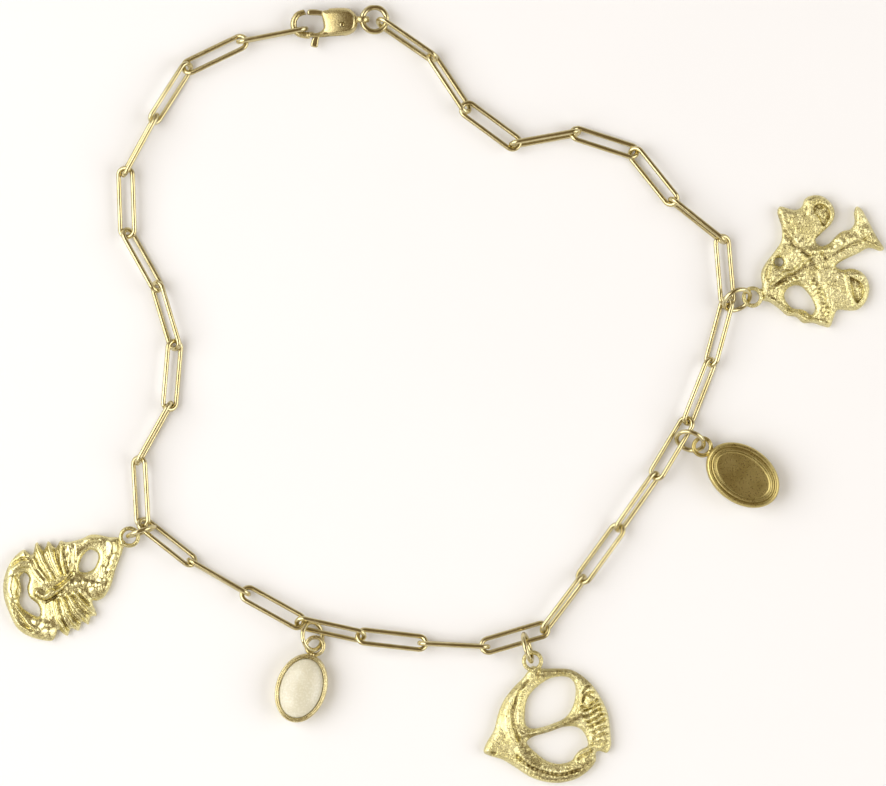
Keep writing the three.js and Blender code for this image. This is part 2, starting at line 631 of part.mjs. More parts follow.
function addCabochon() {
  const charm = new THREE.Group();
  charm.position.set(CABOCHON_PLACE.x, CABOCHON_PLACE.y, 0);
  charm.rotation.z = THREE.MathUtils.degToRad(CABOCHON_PLACE.turn);
  bracelet.add(charm);
  addPiece('cabochon_setting', settingGeometry(CABOCHON), YELLOW_GOLD, charm);
  addPiece('cabochon_stone', cabochonGeometry(CABOCHON), PALE_STONE, charm);
}

// The second oval charm lies face down on its stone, with its stepped back up.
function addTurnedOval() {
  const charm = new THREE.Group();
  charm.position.set(TURNED_OVAL_PLACE.x, TURNED_OVAL_PLACE.y, TURNED_OVAL.dome);
  charm.rotation.set(Math.PI, 0, THREE.MathUtils.degToRad(TURNED_OVAL_PLACE.turn), 'ZYX');
  bracelet.add(charm);
  addPiece('turned_oval_setting', settingGeometry(TURNED_OVAL), SATIN_GOLD, charm);
  addPiece('turned_oval_stone', cabochonGeometry(TURNED_OVAL), PALE_STONE, charm);
}

function addShell(name, shell, size, { x, y, root, heading }) {
  const reach = CHARM_LOOP.outer / 2 - SOLDER_OVERLAP;
  const turn = THREE.MathUtils.degToRad(heading);
  const loopX = root[0] * size.square + reach * Math.cos(turn);
  const loopY = root[1] * size.square + reach * Math.sin(turn);
  const geometry = joined([castPlate(shell, size, SHELL_CELL_SHARE * size.square), soldered(loopX, loopY)]);
  const mesh = addPiece(name, geometry, YELLOW_GOLD);
  mesh.position.set(x - loopX, y - loopY, 0);
}

addChain();
addJumpRings();
addClasp();
addCabochon();
addTurnedOval();
addShell('left_shell', LEFT_SHELL, LEFT_SHELL_SIZE, LEFT_SHELL_PLACE);
addShell('bottom_shell', BOTTOM_SHELL, BOTTOM_SHELL_SIZE, BOTTOM_SHELL_PLACE);
addShell('right_shell', RIGHT_SHELL, RIGHT_SHELL_SIZE, RIGHT_SHELL_PLACE);

// The bracelet's own origin is the middle of its box, on the surface that it lies on.
const box = new THREE.Box3().setFromObject(bracelet, true);
bracelet.position.set(-(box.min.x + box.max.x) / 2, -(box.min.y + box.max.y) / 2, -box.min.z);

export default bracelet;
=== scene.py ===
# A charm bracelet lying as a closed loop on a pale floor, seen from straight above.
# Lengths in this script are millimetres until a mesh is made, which is in metres.
import math

import bpy
import numpy as np
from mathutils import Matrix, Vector


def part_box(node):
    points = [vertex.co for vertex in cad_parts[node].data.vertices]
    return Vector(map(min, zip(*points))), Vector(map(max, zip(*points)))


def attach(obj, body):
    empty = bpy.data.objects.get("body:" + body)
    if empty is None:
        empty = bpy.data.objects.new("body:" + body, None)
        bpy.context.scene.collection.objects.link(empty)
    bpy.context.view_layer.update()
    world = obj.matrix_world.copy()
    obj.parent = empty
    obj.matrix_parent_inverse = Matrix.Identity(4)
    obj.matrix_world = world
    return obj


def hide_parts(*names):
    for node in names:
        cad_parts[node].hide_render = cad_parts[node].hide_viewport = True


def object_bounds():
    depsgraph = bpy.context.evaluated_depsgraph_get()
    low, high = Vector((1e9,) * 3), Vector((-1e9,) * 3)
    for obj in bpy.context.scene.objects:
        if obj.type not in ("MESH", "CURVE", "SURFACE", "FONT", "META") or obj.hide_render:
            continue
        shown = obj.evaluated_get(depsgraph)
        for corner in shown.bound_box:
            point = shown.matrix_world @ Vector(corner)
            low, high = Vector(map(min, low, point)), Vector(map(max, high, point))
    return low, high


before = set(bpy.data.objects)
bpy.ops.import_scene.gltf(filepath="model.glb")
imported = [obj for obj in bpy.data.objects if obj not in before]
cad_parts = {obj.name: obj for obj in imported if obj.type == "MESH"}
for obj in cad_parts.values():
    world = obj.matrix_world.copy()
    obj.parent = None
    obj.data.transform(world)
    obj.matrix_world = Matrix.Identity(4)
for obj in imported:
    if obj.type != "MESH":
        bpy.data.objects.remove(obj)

cad_box = [list(corner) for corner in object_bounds()]

MM = 0.001

# The chain, the rings and the charms' loops.
LINK_LENGTH = 7.38
LINK_WIDTH = 1.92
LINK_WIRE = 0.49
JUMP_RING_OUTER = 3.25
JUMP_RING_WIRE = 0.46
END_RING_OUTER = 3.0
END_RING_WIRE = 0.56
CHARM_LOOP_OUTER = 2.15
CHARM_LOOP_WIRE = 0.42
CHARM_LOOP_HEIGHT = 0.95
SOLDER_OVERLAP = 0.15
RUNNING_GAP = 0.15
WIRE_SIDES = 20
LINK_END_STEPS = 16
RING_STEPS = 72
SEAM_SHARE = 0.8

# The clasp.
CLASP_SQUARE = 10
CLASP_THICKNESS = 1.9
LEVER_THICKNESS = 0.5
PIN_WIDTH = 0.52
PIN_RECESS = 0.05
PIN_FIT = 0.015
CIRCLE_STEPS = 32
TAIL_RADIUS = 0.58
TAIL_WIRE = 0.36
TAIL_BREADTH = 0.66

# The two oval charms.
CABOCHON = {"length": 7.0, "width": 5.1, "wall": 0.45, "height": 1.8, "floor": 0.5, "dome": 2.6}
TURNED_OVAL = {"length": 8.0, "width": 5.7, "wall": 0.5, "height": 1.75, "floor": 0.5, "dome": 2.15}
GIRDLE_BELOW_RIM = 0.22
STONE_FIT = 0.02
STONE_CHAMFER = 0.1
OVAL_STEPS = 144
DOME_STEPS = 28

# The shell charms. Layers of grain are rows of height and pitch.
SHELL_SQUARE = 10
SHELL_CELL = 0.055
RIDGE_SHARE = 0.66
GROOVE_SHARE = 0.75
BEAD_SWING = 0.28
PIT_WALL = 0.25
ROUGH_LAYERS = ((0.06, 0.7), (0.035, 0.3), (0.022, 0.16))
WOBBLE_LAYERS = ((0.06, 0.6), (0.025, 0.25))
GRAIN_TABLE = 64
# Painted shade in the shells' hollows is measured against their top face softened this many times.
HOLLOW_STEPS = 12
# How dark the painted streaks of shade on the shells are.
PAINTED_SHADE_STRENGTH = 0.21
LOOP_DARKNESS = 0.05

# Where the clasp's pin and the two oval charms stand.
CLASP_PLACE = (-10.1, 36.8)
CABOCHON_PLACE = {"x": -14.17, "y": -29.5, "turn": 72}
TURNED_OVAL_PLACE = {"x": 29.95, "y": -8.2, "turn": 145}

# The clasp's outlines, as shares of its drawing square, measured from the pin.
CLASP_BODY = [
    (-0.205, 0.05), (-0.195, -0.02), (-0.21, -0.05), (-0.25, -0.07), (-0.34, -0.072), (-0.345, -0.13),
    (-0.26, -0.135), (-0.17, -0.13), (-0.07, -0.12), (0.03, -0.11), (0.1, -0.085), (0.145, -0.04),
    (0.158, 0.03), (0.143, 0.1), (0.09, 0.155), (0.03, 0.172), (-0.07, 0.172), (-0.16, 0.16),
    (-0.21, 0.14), (-0.215, 0.1),
]
CLASP_HOOK = [
    (-0.25, -0.103), (-0.31, -0.103), (-0.36, -0.103), (-0.43, -0.085), (-0.475, -0.04), (-0.483, 0.03),
    (-0.455, 0.09), (-0.41, 0.12), (-0.356, 0.13),
]
CLASP_LEVER = [
    (0.06, 0), (0.04, 0.05), (-0.02, 0.06), (-0.1, 0.085), (-0.2, 0.145), (-0.33, 0.155),
    (-0.34, 0.1), (-0.21, 0.09), (-0.13, 0.03), (-0.07, -0.01), (-0.13, -0.035), (-0.25, -0.08),
    (-0.295, -0.13), (-0.315, -0.2), (-0.3, -0.22), (-0.245, -0.222), (-0.23, -0.15), (-0.21, -0.105),
    (-0.12, -0.08), (-0.05, -0.065), (0.03, -0.052),
]
CLASP_SLOT = [
    (0.075, 0), (0.05, 0.065), (-0.02, 0.08), (-0.1, 0.12), (-0.16, 0.19), (-0.4, 0.19),
    (-0.3, 0), (-0.23, -0.055), (-0.315, -0.085), (-0.33, -0.16), (-0.2, -0.3), (-0.05, -0.2),
    (0.045, -0.07),
]
CLASP_TAIL_CENTRE = (0.2, 0.055)

# The shell charms: where the loop stands, its root on the charm and its heading from there, the outline,
# pierced gaps, relief as rows of path, width, rise and any beads' pitch, streaks of painted shade as rows
# of path, width and strength, and steep pits as an outline and a depth. Roots, outlines, paths, widths and
# pitches are shares of the charm's drawing square, and a rise or depth is a share of its thickness.
LEFT_SHELL = {
    "thickness": 1.3, "grain": 0.22, "seed": 11,
    "x": -31.35, "y": -14.4, "root": (1.235, 1.03), "heading": 41,
}
LEFT_SHELL["outline"] = [
    (1.255, 1.04), (1.19, 1.085), (1.1, 1.09), (0.98, 1.115), (0.9, 1.11), (0.84, 1.08),
    (0.78, 1.06), (0.72, 1.045), (0.66, 1.04), (0.62, 1.055), (0.595, 1.03), (0.57, 0.985),
    (0.54, 0.995), (0.51, 1.035), (0.485, 1.045), (0.468, 1), (0.445, 0.96), (0.415, 0.985),
    (0.385, 1.035), (0.36, 1.02), (0.347, 0.95), (0.325, 0.91), (0.29, 0.93), (0.25, 0.965),
    (0.18, 0.92), (0.12, 0.85), (0.07, 0.75), (0.04, 0.62), (0.05, 0.47), (0.1, 0.33),
    (0.17, 0.19), (0.27, 0.11), (0.4, 0.065), (0.52, 0.05), (0.56, 0.09), (0.59, 0.165),
    (0.63, 0.13), (0.68, 0.1), (0.7, 0.13), (0.715, 0.175), (0.75, 0.17), (0.79, 0.15),
    (0.81, 0.185), (0.825, 0.24), (0.86, 0.23), (0.893, 0.215), (0.905, 0.25), (0.92, 0.295),
    (0.975, 0.305), (0.96, 0.36), (0.93, 0.45), (0.99, 0.455), (1.06, 0.5),
    (1.12, 0.61), (1.16, 0.75), (1.21, 0.88), (1.24, 0.97),
]
LEFT_SHELL["gaps"] = [
    [(0.9, 0.96), (0.97, 0.94), (0.99, 0.88), (0.95, 0.78), (0.88, 0.74), (0.81, 0.745),
     (0.8, 0.8), (0.83, 0.89)],
    [(0.25, 0.73), (0.3, 0.68), (0.28, 0.59), (0.3, 0.49), (0.38, 0.42), (0.41, 0.35),
     (0.39, 0.295), (0.3, 0.335), (0.22, 0.4), (0.205, 0.47), (0.22, 0.57), (0.205, 0.68)],
]
LEFT_SHELL["relief"] = [
    ([(0.6, 0.54), (0.68, 0.6), (0.78, 0.63), (0.88, 0.635), (0.97, 0.6), (1.05, 0.68), (1.12, 0.77),
      (1.17, 0.9)], 0.09, 0.24, 0.07),
    ([(0.33, 0.87), (0.2, 0.8), (0.11, 0.7), (0.1, 0.57), (0.14, 0.36)], 0.13, 0.15),
    ([(0.15, 0.77), (0.21, 0.81), (0.285, 0.82)], 0.09, 0.34),
    ([(0.13, 0.68), (0.115, 0.58), (0.135, 0.5)], 0.13, 0.36),
    ([(0.12, 0.8), (0.2, 0.87), (0.29, 0.88)], 0.045, -0.2),
    ([(0.17, 0.7), (0.2, 0.63), (0.18, 0.52)], 0.04, -0.24),
    ([(0.15, 0.42), (0.26, 0.28), (0.37, 0.16)], 0.06, 0.2),
    ([(0.11, 0.36), (0.2, 0.22), (0.32, 0.13)], 0.06, 0.18),
    ([(0.26, 0.94), (0.34, 0.78), (0.45, 0.64)], 0.08, 0.2),
    ([(0.34, 0.88), (0.42, 0.75), (0.5, 0.64)], 0.05, 0.16),
    ([(0.385, 1), (0.45, 0.84), (0.54, 0.68)], 0.075, 0.28),
    ([(0.46, 0.92), (0.52, 0.78), (0.59, 0.67)], 0.045, 0.18),
    ([(0.493, 1.02), (0.54, 0.88), (0.61, 0.72)], 0.075, 0.28),
    ([(0.618, 1.03), (0.62, 0.88), (0.65, 0.73)], 0.06, 0.28),
    ([(0.7, 1.03), (0.71, 0.89), (0.7, 0.76)], 0.06, 0.24, 0.11),
    ([(0.56, 0.44), (0.593, 0.28), (0.67, 0.14)], 0.055, 0.24),
    ([(0.627, 0.48), (0.693, 0.31), (0.78, 0.19)], 0.055, 0.26),
    ([(0.693, 0.51), (0.777, 0.36), (0.88, 0.25)], 0.055, 0.26),
    ([(0.76, 0.53), (0.86, 0.41), (0.95, 0.32)], 0.055, 0.26),
    ([(0.83, 0.54), (0.93, 0.43)], 0.06, 0.18),
    ([(0.38, 0.54), (0.46, 0.5), (0.53, 0.54)], 0.1, 0.42),
    ([(0.52, 0.5), (0.6, 0.56), (0.7, 0.64)], 0.06, 0.3),
    ([(0.48, 0.45), (0.577, 0.5), (0.64, 0.56)], 0.05, -0.2),
    ([(0.56, 0.58), (0.63, 0.62), (0.69, 0.68), (0.73, 0.72)], 0.06, -0.22),
    ([(0.33, 0.97), (0.4, 0.8), (0.5, 0.66)], 0.04, -0.18),
    ([(0.44, 0.98), (0.49, 0.83), (0.57, 0.68)], 0.04, -0.2),
    ([(0.56, 1), (0.58, 0.88), (0.63, 0.72)], 0.04, -0.2),
    ([(0.66, 0.99), (0.665, 0.85), (0.685, 0.74)], 0.05, -0.18, 0.08),
    ([(0.75, 1.02), (0.76, 0.9), (0.75, 0.76)], 0.045, -0.12, 0.07),
    ([(0.59, 0.46), (0.65, 0.24), (0.71, 0.15)], 0.035, -0.18),
    ([(0.66, 0.48), (0.74, 0.31), (0.82, 0.22)], 0.035, -0.18),
    ([(0.73, 0.5), (0.83, 0.37), (0.92, 0.28)], 0.035, -0.18),
    ([(0.8, 0.52), (0.9, 0.42)], 0.04, -0.14),
    ([(0.88, 1.07), (0.99, 1.075)], 0.08, 0.2),
    ([(1.12, 1.04), (1.13, 0.94)], 0.1, 0.18),
    ([(1.19, 1.04), (1.19, 0.96), (1.165, 0.84), (1.09, 0.7)], 0.035, -0.16),
    ([(1.03, 0.78), (1.05, 0.69)], 0.06, 0.2),
    ([(0.38, 0.25), (0.47, 0.2), (0.5, 0.12)], 0.13, 0.24, 0.08),
    ([(0.95, 0.57), (1.06, 0.58)], 0.12, 0.16, 0.06),
    ([(0.13, 0.42), (0.2, 0.31), (0.3, 0.19)], 0.035, -0.14),
]
# Streaks of painted shade, where the relief falls away from the light.
LEFT_SHELL["patina"] = [
    ([(0.61, 1.01), (0.66, 0.88), (0.72, 0.83), (0.7, 0.73)], 0.09, 0.8),
    ([(0.44, 0.46), (0.52, 0.47), (0.6, 0.54), (0.68, 0.6), (0.74, 0.67)], 0.07, 1),
    ([(1.19, 1.06), (1.22, 0.91), (1.13, 0.69), (1.04, 0.55)], 0.08, 0.7),
    ([(0.077, 0.76), (0.06, 0.51), (0.127, 0.33), (0.26, 0.16)], 0.08, 0.5),
    ([(0.39, 0.127), (0.56, 0.077)], 0.12, 0.7),
    ([(0.64, 0.27), (0.66, 0.15)], 0.07, 0.9),
    ([(0.72, 0.29), (0.78, 0.2)], 0.06, 0.9),
    ([(0.84, 0.32), (0.89, 0.25)], 0.06, 0.7),
    ([(0.26, 0.95), (0.4, 1.02)], 0.07, 0.7),
    ([(0.16, 0.9), (0.3, 0.86)], 0.06, 0.5),
    ([(0.78, 0.65), (0.9, 0.66), (1, 0.63)], 0.04, 0.8),
]

BOTTOM_SHELL = {
    "thickness": 1.3, "grain": 0.7, "seed": 23,
    "x": 8.95, "y": -26.8, "root": (0.53, 1.148), "heading": 93,
}
BOTTOM_SHELL["outline"] = [
    (0.53, 1.19), (0.63, 1.165), (0.77, 1.165), (0.9, 1.155), (1.01, 1.1), (1.13, 0.99),
    (1.22, 0.85), (1.28, 0.71), (1.305, 0.53), (1.31, 0.39), (1.27, 0.32), (1.2, 0.34),
    (1.16, 0.32), (1.155, 0.23), (1.07, 0.13), (0.95, 0.055), (0.8, 0.02), (0.65, 0.03),
    (0.5, 0.08), (0.36, 0.17), (0.23, 0.25), (0.1, 0.29), (0.035, 0.33), (0.07, 0.43),
    (0.14, 0.55), (0.18, 0.71), (0.24, 0.85), (0.34, 0.98), (0.43, 1.07), (0.48, 1.14),
]
BOTTOM_SHELL["gaps"] = [
    [(0.82, 1.085), (0.91, 1.06), (0.955, 0.97), (0.94, 0.82), (0.86, 0.68), (0.72, 0.61),
     (0.56, 0.565), (0.465, 0.59), (0.45, 0.71), (0.475, 0.86), (0.56, 0.97), (0.69, 1.06)],
    [(0.96, 0.58), (1.04, 0.52), (1.08, 0.4), (1, 0.35), (0.955, 0.3), (0.91, 0.24),
     (0.79, 0.21), (0.67, 0.24), (0.55, 0.33), (0.47, 0.42), (0.53, 0.48), (0.68, 0.525),
     (0.84, 0.58)],
]
BOTTOM_SHELL["relief"] = [
    ([(0.4, 0.97), (0.333, 0.87), (0.275, 0.77), (0.255, 0.65), (0.29, 0.52), (0.35, 0.42),
      (0.45, 0.28), (0.6, 0.17)], 0.11, 0.3),
    ([(0.3, 0.82), (0.265, 0.7), (0.27, 0.58)], 0.07, 0.36),
    ([(0.2, 0.5), (0.08, 0.35)], 0.14, 0.14),
    ([(0.42, 0.5), (0.62, 0.54), (0.75, 0.58), (0.88, 0.64), (1.02, 0.74)], 0.07, 0.26, 0.08),
    ([(0.62, 0.55), (0.7, 0.57)], 0.05, 0.34),
    ([(0.6, 1.12), (0.8, 1.13), (0.95, 1.09), (1.01, 0.95)], 0.07, 0.2, 0.07),
    ([(0.95, 1.03), (1, 0.93), (1, 0.82), (0.96, 0.7)], 0.05, 0.24),
    ([(1.1, 0.95), (1.16, 0.9)], 0.08, 0.2, 0.06),
    ([(1.1, 0.86), (1.135, 0.845)], 0.1, 0.3),
    ([(1.05, 0.77), (1.12, 0.79), (1.19, 0.83)], 0.055, 0.24),
    ([(1.04, 0.715), (1.1, 0.735), (1.16, 0.78), (1.24, 0.78)], 0.055, 0.26, 0.09),
    ([(1.05, 0.655), (1.13, 0.68), (1.19, 0.735), (1.27, 0.73)], 0.055, 0.26, 0.09),
    ([(1.09, 0.605), (1.16, 0.64), (1.23, 0.69), (1.28, 0.68)], 0.055, 0.26, 0.09),
    ([(1.12, 0.55), (1.19, 0.59), (1.27, 0.64)], 0.055, 0.22, 0.09),
    ([(1.13, 0.5), (1.2, 0.53), (1.29, 0.57)], 0.055, 0.2, 0.09),
    ([(1.12, 0.44), (1.2, 0.47), (1.29, 0.5)], 0.055, 0.2, 0.09),
    ([(1.2, 0.37), (1.27, 0.42)], 0.06, 0.18),
    ([(1.03, 0.93), (1.07, 0.98), (1.13, 1)], 0.04, -0.2),
    ([(1.03, 0.84), (1.06, 0.91), (1.14, 0.94)], 0.035, -0.2),
    ([(1.02, 0.79), (1.09, 0.79), (1.17, 0.86)], 0.035, -0.2),
    ([(1.03, 0.745), (1.11, 0.765), (1.2, 0.81)], 0.032, -0.16),
    ([(1.03, 0.685), (1.1, 0.7), (1.167, 0.75), (1.26, 0.75)], 0.032, -0.16),
    ([(1.08, 0.63), (1.15, 0.66), (1.217, 0.715), (1.28, 0.7)], 0.032, -0.16),
    ([(1.11, 0.58), (1.18, 0.62), (1.25, 0.665)], 0.032, -0.14),
    ([(1.13, 0.525), (1.2, 0.56), (1.28, 0.6)], 0.032, -0.1),
    ([(1.13, 0.47), (1.2, 0.5), (1.29, 0.53)], 0.032, -0.08),
    ([(0.48, 1.04), (0.392, 0.94), (0.35, 0.82), (0.325, 0.68), (0.342, 0.57), (0.39, 0.45)],
     0.05, -0.22),
    ([(0.57, 1.12), (0.58, 1.05)], 0.07, -0.2),
    ([(0.44, 0.97), (0.405, 0.8), (0.395, 0.62)], 0.07, 0.18, 0.05),
    ([(0.12, 0.325), (0.15, 0.315)], 0.05, -0.25),
    ([(0.38, 0.33), (0.5, 0.23), (0.66, 0.16), (0.85, 0.14), (1, 0.2)], 0.06, 0.16, 0.055),
    ([(0.36, 0.25), (0.5, 0.15), (0.66, 0.09), (0.82, 0.08), (0.98, 0.12)], 0.06, 0.14, 0.045),
    ([(0.37, 0.29), (0.5, 0.19), (0.66, 0.125), (0.84, 0.11), (1, 0.16)], 0.04, -0.18, 0.05),
    ([(0.42, 0.18), (0.55, 0.1), (0.7, 0.055), (0.88, 0.06)], 0.04, -0.14, 0.04),
    ([(0.95, 0.29), (1.02, 0.35), (1.12, 0.39)], 0.06, 0.3),
    ([(0.98, 0.26), (1.05, 0.31), (1.12, 0.34)], 0.035, -0.2),
    ([(1.05, 0.24), (1.12, 0.28)], 0.07, 0.16),
]
# Streaks of painted shade, where the relief falls away from the light.
BOTTOM_SHELL["patina"] = [
    ([(0.58, 1.1), (0.82, 1.14), (0.98, 1.1), (1.09, 1)], 0.13, 1.1),
    ([(0.36, 0.9), (0.34, 0.75), (0.36, 0.6), (0.43, 0.45)], 0.08, 0.7),
    ([(0.43, 0.4), (0.5, 0.24), (0.63, 0.11), (0.8, 0.07), (0.95, 0.12), (1.1, 0.22)], 0.18, 1.1),
    ([(0.45, 0.3), (0.6, 0.14)], 0.2, 0.5),
    ([(0.45, 0.5), (0.57, 0.5), (0.72, 0.55), (0.88, 0.63), (1.02, 0.7)], 0.11, 1.2),
    ([(0.98, 0.33), (1.1, 0.37), (1.15, 0.28)], 0.06, 0.7),
    ([(0.32, 0.93), (0.48, 1.03)], 0.09, 0.6),
    ([(0.05, 0.31), (0.14, 0.31)], 0.08, 0.7),
    ([(1.05, 0.93), (1.04, 0.8), (1.08, 0.68)], 0.06, 0.5),
]

RIGHT_SHELL = {
    "thickness": 1.35, "grain": 1, "seed": 37,
    "x": 30.95, "y": 9.6, "root": (0.051, 0.442), "heading": 214.5,
}
RIGHT_SHELL["outline"] = [
    (0.06, 0.44), (0.07, 0.51), (0.06, 0.62), (0.1, 0.72), (0.2, 0.85), (0.265, 0.96),
    (0.265, 1.09), (0.225, 1.23), (0.25, 1.295), (0.32, 1.28), (0.4, 1.26), (0.465, 1.29),
    (0.5, 1.37), (0.57, 1.405), (0.67, 1.4), (0.76, 1.33), (0.8, 1.23), (0.77, 1.13), (0.67, 1.03),
    (0.605, 0.96), (0.65, 0.9), (0.74, 0.925), (0.81, 1), (0.88, 1.05), (0.95, 1.065),
    (0.995, 1.13), (0.99, 1.23), (1.015, 1.295), (1.07, 1.265), (1.14, 1.14), (1.22, 0.99),
    (1.29, 0.88), (1.25, 0.85), (1.14, 0.88), (1.02, 0.82), (0.89, 0.76), (0.81, 0.7),
    (0.87, 0.665), (0.97, 0.675), (1.08, 0.63), (1.145, 0.51), (1.12, 0.36), (1.03, 0.265),
    (0.93, 0.255), (0.83, 0.26), (0.79, 0.19), (0.75, 0.09), (0.67, 0.1), (0.58, 0.13),
    (0.48, 0.13), (0.41, 0.19), (0.32, 0.205), (0.23, 0.28), (0.14, 0.34), (0.07, 0.36),
]
RIGHT_SHELL["gaps"] = [
    [(0.283, 0.74), (0.27, 0.77), (0.24, 0.783), (0.21, 0.77), (0.197, 0.74), (0.21, 0.71),
     (0.24, 0.697), (0.27, 0.71)],
    [(0.36, 0.495), (0.45, 0.5), (0.52, 0.44), (0.58, 0.35), (0.6, 0.27), (0.56, 0.215),
     (0.48, 0.265), (0.38, 0.28), (0.31, 0.35), (0.3, 0.43)],
]
RIGHT_SHELL["relief"] = [
    ([(0.16, 0.49), (0.28, 0.61), (0.4, 0.66), (0.5, 0.75), (0.57, 0.8)], 0.06, 0.34),
    ([(0.18, 0.46), (0.33, 0.53), (0.48, 0.59)], 0.06, 0.2, 0.05),
    ([(0.18, 0.5), (0.31, 0.575), (0.44, 0.625)], 0.045, -0.12),
    ([(0.25, 1.28), (0.29, 1.16), (0.33, 1.06), (0.41, 0.95), (0.52, 0.87)], 0.09, 0.11),
    ([(0.3, 1.03), (0.36, 0.95), (0.44, 0.87), (0.53, 0.82)], 0.08, -0.16),
    ([(0.28, 1.08), (0.24, 0.95), (0.15, 0.78), (0.09, 0.66), (0.08, 0.54)], 0.055, 0.22),
    ([(0.14, 0.7), (0.13, 0.58)], 0.05, 0.25),
    ([(0.55, 0.84), (0.75, 0.86), (0.92, 0.95), (1.05, 0.98), (1.14, 1.07)], 0.1, 0.18, 0.07),
    ([(0.75, 0.8), (0.92, 0.89), (1.06, 0.94), (1.16, 1.03)], 0.045, -0.1),
    ([(1.06, 1), (1.03, 1.13), (1.03, 1.25)], 0.08, 0.16),
    ([(1.1, 0.94), (1.25, 0.88)], 0.06, 0.16),
    ([(0.58, 0.53), (0.65, 0.43), (0.68, 0.31), (0.74, 0.19)], 0.08, 0.28, 0.05),
    ([(0.63, 0.56), (0.7, 0.43), (0.73, 0.31), (0.79, 0.23)], 0.045, -0.1),
    ([(0.12, 0.39), (0.23, 0.32), (0.33, 0.235), (0.42, 0.23), (0.5, 0.16), (0.6, 0.15),
      (0.72, 0.12)], 0.07, 0.28),
    ([(0.54, 1.22), (0.56, 1.33), (0.66, 1.37), (0.75, 1.32), (0.785, 1.22), (0.75, 1.12)],
     0.05, 0.16),
    ([(0.62, 1.25), (0.68, 1.27)], 0.07, 0.14),
    ([(0.69, 1.19), (0.72, 1.22)], 0.06, 0.12),
    ([(0.91, 0.6), (0.94, 0.46), (0.99, 0.31)], 0.05, 0.22),
    ([(1.05, 0.47), (1.055, 0.39)], 0.1, 0.22),
    ([(0.44, 0.86), (0.5, 0.77)], 0.07, 0.24, 0.05),
    ([(0.6, 0.8), (0.7, 0.72), (0.68, 0.62)], 0.16, 0.16, 0.06),
    ([(0.56, 0.74), (0.62, 0.68)], 0.05, -0.16),
    ([(0.66, 0.84), (0.7, 0.78)], 0.05, -0.16),
]
# Streaks of painted shade, where the relief falls away from the light.
RIGHT_SHELL["patina"] = [
    ([(0.25, 1.2), (0.3, 1.06), (0.4, 0.91), (0.52, 0.82), (0.58, 0.74)], 0.08, 0.9),
    ([(0.13, 0.47), (0.32, 0.58), (0.5, 0.68), (0.62, 0.74), (0.72, 0.79)], 0.07, 0.9),
    ([(0.57, 0.7), (0.59, 0.58), (0.64, 0.42), (0.68, 0.24)], 0.06, 0.7),
    ([(0.58, 1.28), (0.68, 1.26), (0.75, 1.18)], 0.1, 0.8),
    ([(0.95, 0.58), (1.08, 0.52)], 0.1, 0.8),
    ([(0.78, 0.81), (0.93, 0.9), (1.09, 0.99)], 0.05, 0.8),
    ([(1.12, 1.1), (1.19, 1), (1.26, 0.9)], 0.07, 0.7),
    ([(0.52, 1.35), (0.63, 1.39), (0.75, 1.31), (0.79, 1.2)], 0.05, 0.6),
    ([(0.15, 0.4), (0.33, 0.23), (0.52, 0.14), (0.7, 0.11)], 0.06, 0.7),
    ([(0.12, 0.7), (0.12, 0.58)], 0.08, 0.6),
    ([(1, 0.3), (1.1, 0.4), (1.13, 0.52)], 0.05, 0.6),
]
RIGHT_SHELL["pits"] = [
    ([(0.58, 1.3), (0.65, 1.33), (0.72, 1.3), (0.76, 1.24), (0.75, 1.17), (0.7, 1.09), (0.66, 1.11),
      (0.63, 1.18), (0.585, 1.23)], 0.34),
    ([(0.94, 0.59), (1, 0.58), (1.06, 0.54), (1.095, 0.47), (1.09, 0.4), (1.05, 0.34), (1.02, 0.32),
      (0.985, 0.38), (0.96, 0.47)], 0.34),
]


# Where the drawing's own zero lies in the frame.
pin_middle = np.mean(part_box("clasp_pin"), axis=0) / MM
ZERO = np.array([pin_middle[0] - CLASP_PLACE[0], pin_middle[1] - CLASP_PLACE[1], 0])


def node_frame(node):
    """Middle of a piece and its three axes as rows, longest first, from the corners of its solid."""
    corners = np.array([vertex.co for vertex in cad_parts[node].data.vertices]) / MM
    corners = np.unique(corners.round(4), axis=0)
    middle = corners.mean(0)
    axes = np.linalg.eigh(np.cov((corners - middle).T))[1].T[::-1]
    return middle, np.array([axes[0], axes[1], np.cross(axes[0], axes[1])])


def new_object(name, points, faces):
    mesh = bpy.data.meshes.new(name)
    mesh.from_pydata(np.asarray(points).tolist(), [], faces)
    thing = bpy.data.objects.new(name, mesh)
    bpy.context.collection.objects.link(thing)
    return thing


def add_piece(node, points, faces, material, body="bracelet", crease=50, marks=None):
    """A mesh piece from points in millimetres, riding on a body in place of its solid."""
    low, high = [np.array(corner) / MM for corner in cad_box]
    piece = new_object("fine_" + node, np.clip(points, low, high) * MM, faces)
    mesh = piece.data
    mesh.validate()
    mesh.shade_smooth()
    mesh.set_sharp_from_angle(angle=math.radians(crease))
    if marks is not None:
        # The painted shade of each point, kept on the mesh so that its material darkens the colour there.
        attribute = mesh.attributes.new("painted_shade", "FLOAT", "POINT")
        attribute.data.foreach_set("value", np.asarray(marks, dtype=np.float32))
    mesh.materials.append(material)
    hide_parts(node)
    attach(piece, body)


def tube_faces(rows, sides, closed=False):
    """The faces of a tube made of rows of points, joined end to end or with its two ends capped."""
    faces = []
    for i in range(rows if closed else rows - 1):
        following = (i + 1) % rows
        for j in range(sides):
            side = (j + 1) % sides
            faces.append((i * sides + j, i * sides + side, following * sides + side, following * sides + j))
    if not closed:
        faces.append(tuple(range(sides))[::-1])
        faces.append(tuple((rows - 1) * sides + j for j in range(sides)))
    return faces


